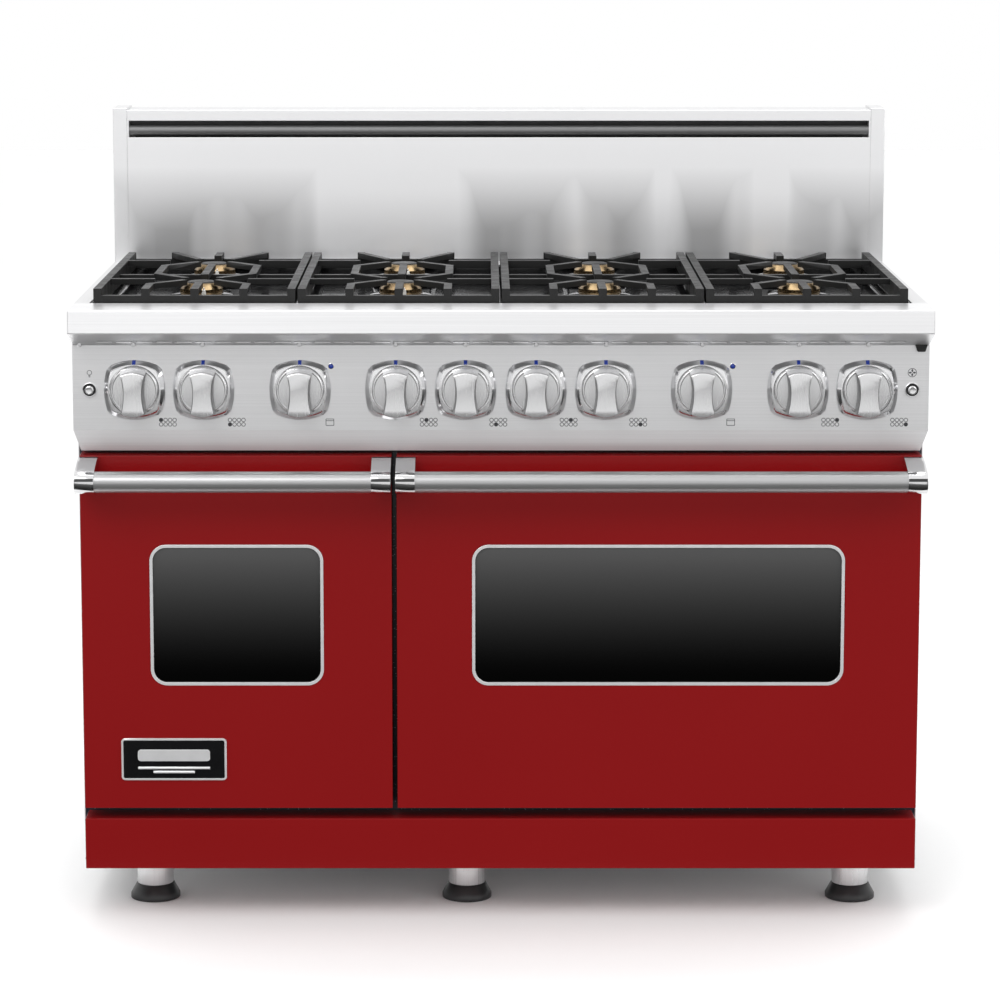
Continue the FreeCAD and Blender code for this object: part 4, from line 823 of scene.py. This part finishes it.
def make_racks():
    edge, wire = 0.003, 0.0015      # radii of the frame's rod and of the wires
    brace = edge * 0.75
    corner, wire_pitch = 0.016, 0.026
    for label in ("rack_left", "rack_right_low", "rack_right_high"):
        low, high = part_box(label)
        middle_z = (low.z + high.z) / 2
        half_u = (high.x - low.x) / 2 - edge
        half_v = (high.y - low.y) / 2 - edge
        centre = Vector(((low.x + high.x) / 2, (low.y + high.y) / 2, middle_z))
        shape = Shape()
        loop = [centre + Vector((u, v, 0)) for u, v in rounded_rectangle(half_u, half_v, corner, 6)]
        tube(shape, loop, edge, loop=True)
        count = round((high.x - low.x) / wire_pitch)
        top = high.z - wire
        for index in range(1, count):
            x = low.x + (high.x - low.x) * index / count
            tube(shape, [Vector((x, low.y + edge, top)), Vector((x, high.y - edge, top))], wire)
        for share in (0.33, 0.67):
            y = low.y + (high.y - low.y) * share
            under = high.z - wire * 2 - brace
            tube(shape, [Vector((low.x + edge, y, under)), Vector((high.x - edge, y, under))], brace)
        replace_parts(shape.finish(f"{label}_wires", "chrome", f"{label}_body", "chrome"), label)


# ---------------------------------------------------------------- backguard and ledge trim

def make_backguard_slot():
    """The black inside of the slot that the backguard's bar sits in."""
    bar_low, bar_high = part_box("backguard_bar")
    shape = Shape()
    shape.box((bar_low.x, bar_high.y + 0.002, bar_low.z - 0.006),
              (bar_high.x, bar_high.y + 0.004, bar_high.z + 0.012))
    shape.finish("backguard_slot_back", "black_plastic", "chassis", "black_plastic")


def make_ledge_trim():
    """The rubber bumper at the right end and the screw heads along the ledge's underside."""
    low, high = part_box("landing_ledge")
    panel_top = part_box("control_panel")[1].z
    end_inset = 0.012
    x = high.x - end_inset
    half_wide = 0.009
    half_foot = half_wide * 0.6
    top, foot = panel_top + 0.002, panel_top - 0.009
    outline = [(x - half_wide, top), (x + half_wide, top), (x + half_foot, foot), (x - half_foot, foot)]
    bumper = Shape()
    bumper.loft([[Vector((u, y, v)) for u, v in outline] for y in (PANEL_Y - 0.006, PANEL_Y + 0.0005)])
    bumper.finish("ledge_bumper", "black_rubber", "chassis", "black_rubber", rounding=0.0008)
    screws = Shape()
    for x in [knob_centre(number).x for number in KNOBS] + [low.x + end_inset]:
        place = facing(Vector((x, PANEL_Y - 0.012, top)))
        turned(screws, place, [(0.0034, -0.004), (0.0034, 0.0010), (0.0026, 0.0018), (0.0006, 0.0019)], 20)
    screws.finish("ledge_screws", "stainless_tube", "chassis", "stainless")


# ---------------------------------------------------------------- camera, floor and light

def make_stage():
    floor_size, floor_drop = 30.0, 0.0005
    bpy.ops.mesh.primitive_plane_add(size=floor_size, location=(0, 0, -floor_drop))
    floor = bpy.context.object
    floor.name = "floor"
    pale = shader("pale_floor", (0.94, 0.94, 0.94), roughness=0.75)
    vary_color(pale, noise(pale, 0.8), (0.93, 0.93, 0.93), (0.95, 0.95, 0.95))
    floor.data.materials.append(pale)
    floor.visible_diffuse = False


def make_card(name, corners, fade_axis, shades):
    """A card that only shows in reflections; its shade runs between two values along one axis."""
    data = bpy.data.meshes.new(name)
    data.from_pydata(corners, [], [(0, 1, 2, 3)])
    card = bpy.data.objects.new(name, data)
    scene.collection.objects.link(card)
    material = bpy.data.materials.new(name)
    material.use_nodes = True
    tree = material.node_tree
    tree.nodes.clear()
    output = tree.nodes.new("ShaderNodeOutputMaterial")
    glow = tree.nodes.new("ShaderNodeEmission")
    coordinates = tree.nodes.new("ShaderNodeTexCoord")
    split = tree.nodes.new("ShaderNodeSeparateXYZ")
    places = [corner["XYZ".index(fade_axis)] for corner in corners]
    tree.links.new(coordinates.outputs["Object"], split.inputs["Vector"])
    shade = remap(material, split.outputs[fade_axis], (min(places), max(places)), shades)
    tree.links.new(shade, glow.inputs["Strength"])
    tree.links.new(glow.outputs["Emission"], output.inputs["Surface"])
    data.materials.append(material)
    card.visible_camera = False
    card.visible_diffuse = False
    card.visible_shadow = False


def make_cards():
    """A dim card on the floor in front of the doors, and a dark flag beyond each end of the knobs."""
    side, far, near, level = 4, -5.6, -0.5, 0.004
    corners = [(-side, far, level), (side, far, level), (side, near, level), (-side, near, level)]
    make_card("front_card", corners, "Y", (0.35, 0.01))
    far, near, low, high = -1.5, -0.31, 0.45, 1.05
    for tag, x in (("left", -1.25), ("right", 1.25)):
        corners = [(x, far, low), (x, near, low), (x, near, high), (x, far, high)]
        make_card(f"{tag}_flag", corners, "Y", (0.25, 0.01))


def make_camera():
    pitch_down = 8.309      # degrees
    data = bpy.data.cameras.new("camera")
    data.lens = 124.9
    data.shift_x = 0.0187
    data.shift_y = -0.10
    data.clip_end = 60
    camera = bpy.data.objects.new("camera", data)
    camera.location = (-0.0277, -5.183, 1.4757)
    camera.rotation_euler = (math.radians(90 - pitch_down), 0, 0)
    scene.collection.objects.link(camera)
    scene.camera = camera


def make_world():
    """White for the camera; for light and reflections, a studio that is a little brighter above."""
    world = bpy.data.worlds.new("studio")
    world.use_nodes = True
    scene.world = world
    tree = world.node_tree
    tree.nodes.clear()
    output = tree.nodes.new("ShaderNodeOutputWorld")
    mix = tree.nodes.new("ShaderNodeMixShader")
    paths = tree.nodes.new("ShaderNodeLightPath")
    seen = tree.nodes.new("ShaderNodeBackground")
    seen.inputs["Color"].default_value = (1, 1, 1, 1)
    room = tree.nodes.new("ShaderNodeBackground")
    room.inputs["Strength"].default_value = 1.1
    coordinates = tree.nodes.new("ShaderNodeTexCoord")
    split = tree.nodes.new("ShaderNodeSeparateXYZ")
    ramp = tree.nodes.new("ShaderNodeValToRGB")
    ramp.color_ramp.elements[0].position = 0.0
    ramp.color_ramp.elements[0].color = (0.78, 0.78, 0.78, 1)
    ramp.color_ramp.elements[1].position = 0.6
    ramp.color_ramp.elements[1].color = (1, 1, 1, 1)
    tree.links.new(coordinates.outputs["Generated"], split.inputs["Vector"])
    tree.links.new(split.outputs["Z"], ramp.inputs["Fac"])
    tree.links.new(ramp.outputs["Color"], room.inputs["Color"])
    tree.links.new(paths.outputs["Is Camera Ray"], mix.inputs["Fac"])
    tree.links.new(room.outputs["Background"], mix.inputs[1])
    tree.links.new(seen.outputs["Background"], mix.inputs[2])
    tree.links.new(mix.outputs["Shader"], output.inputs["Surface"])


def make_light(name, place, target, size, power):
    """A soft rectangular lamp at place, aimed at target."""
    data = bpy.data.lights.new(name, "AREA")
    data.shape = "RECTANGLE"
    data.size, data.size_y = size
    data.energy = power
    item = bpy.data.objects.new(name, data)
    item.location = place
    item.rotation_euler = (Vector(target) - Vector(place)).to_track_quat("-Z", "Y").to_euler()
    scene.collection.objects.link(item)


def make_lights():
    middle = (0, 0, 0.6)
    make_light("key_softbox", (-1.6, -3.0, 3.2), middle, (2.6, 1.8), 42)
    make_light("fill_softbox", (2.8, -2.4, 1.8), middle, (1.6, 2.4), 20)
    make_light("top_softbox", (0.0, 0.2, 3.4), middle, (3.0, 1.6), 40)


finish_cad_nodes()
for knob_number in KNOBS:
    make_knob(knob_number)
make_bezels()
make_buttons()
make_icons()
make_indicator_lamps()
make_badge()
make_bracket_groove_shades()
make_burners()
make_racks()
make_backguard_slot()
make_ledge_trim()
make_stage()
make_cards()
make_camera()
make_world()
make_lights()
scene.view_settings.view_transform = "Standard"
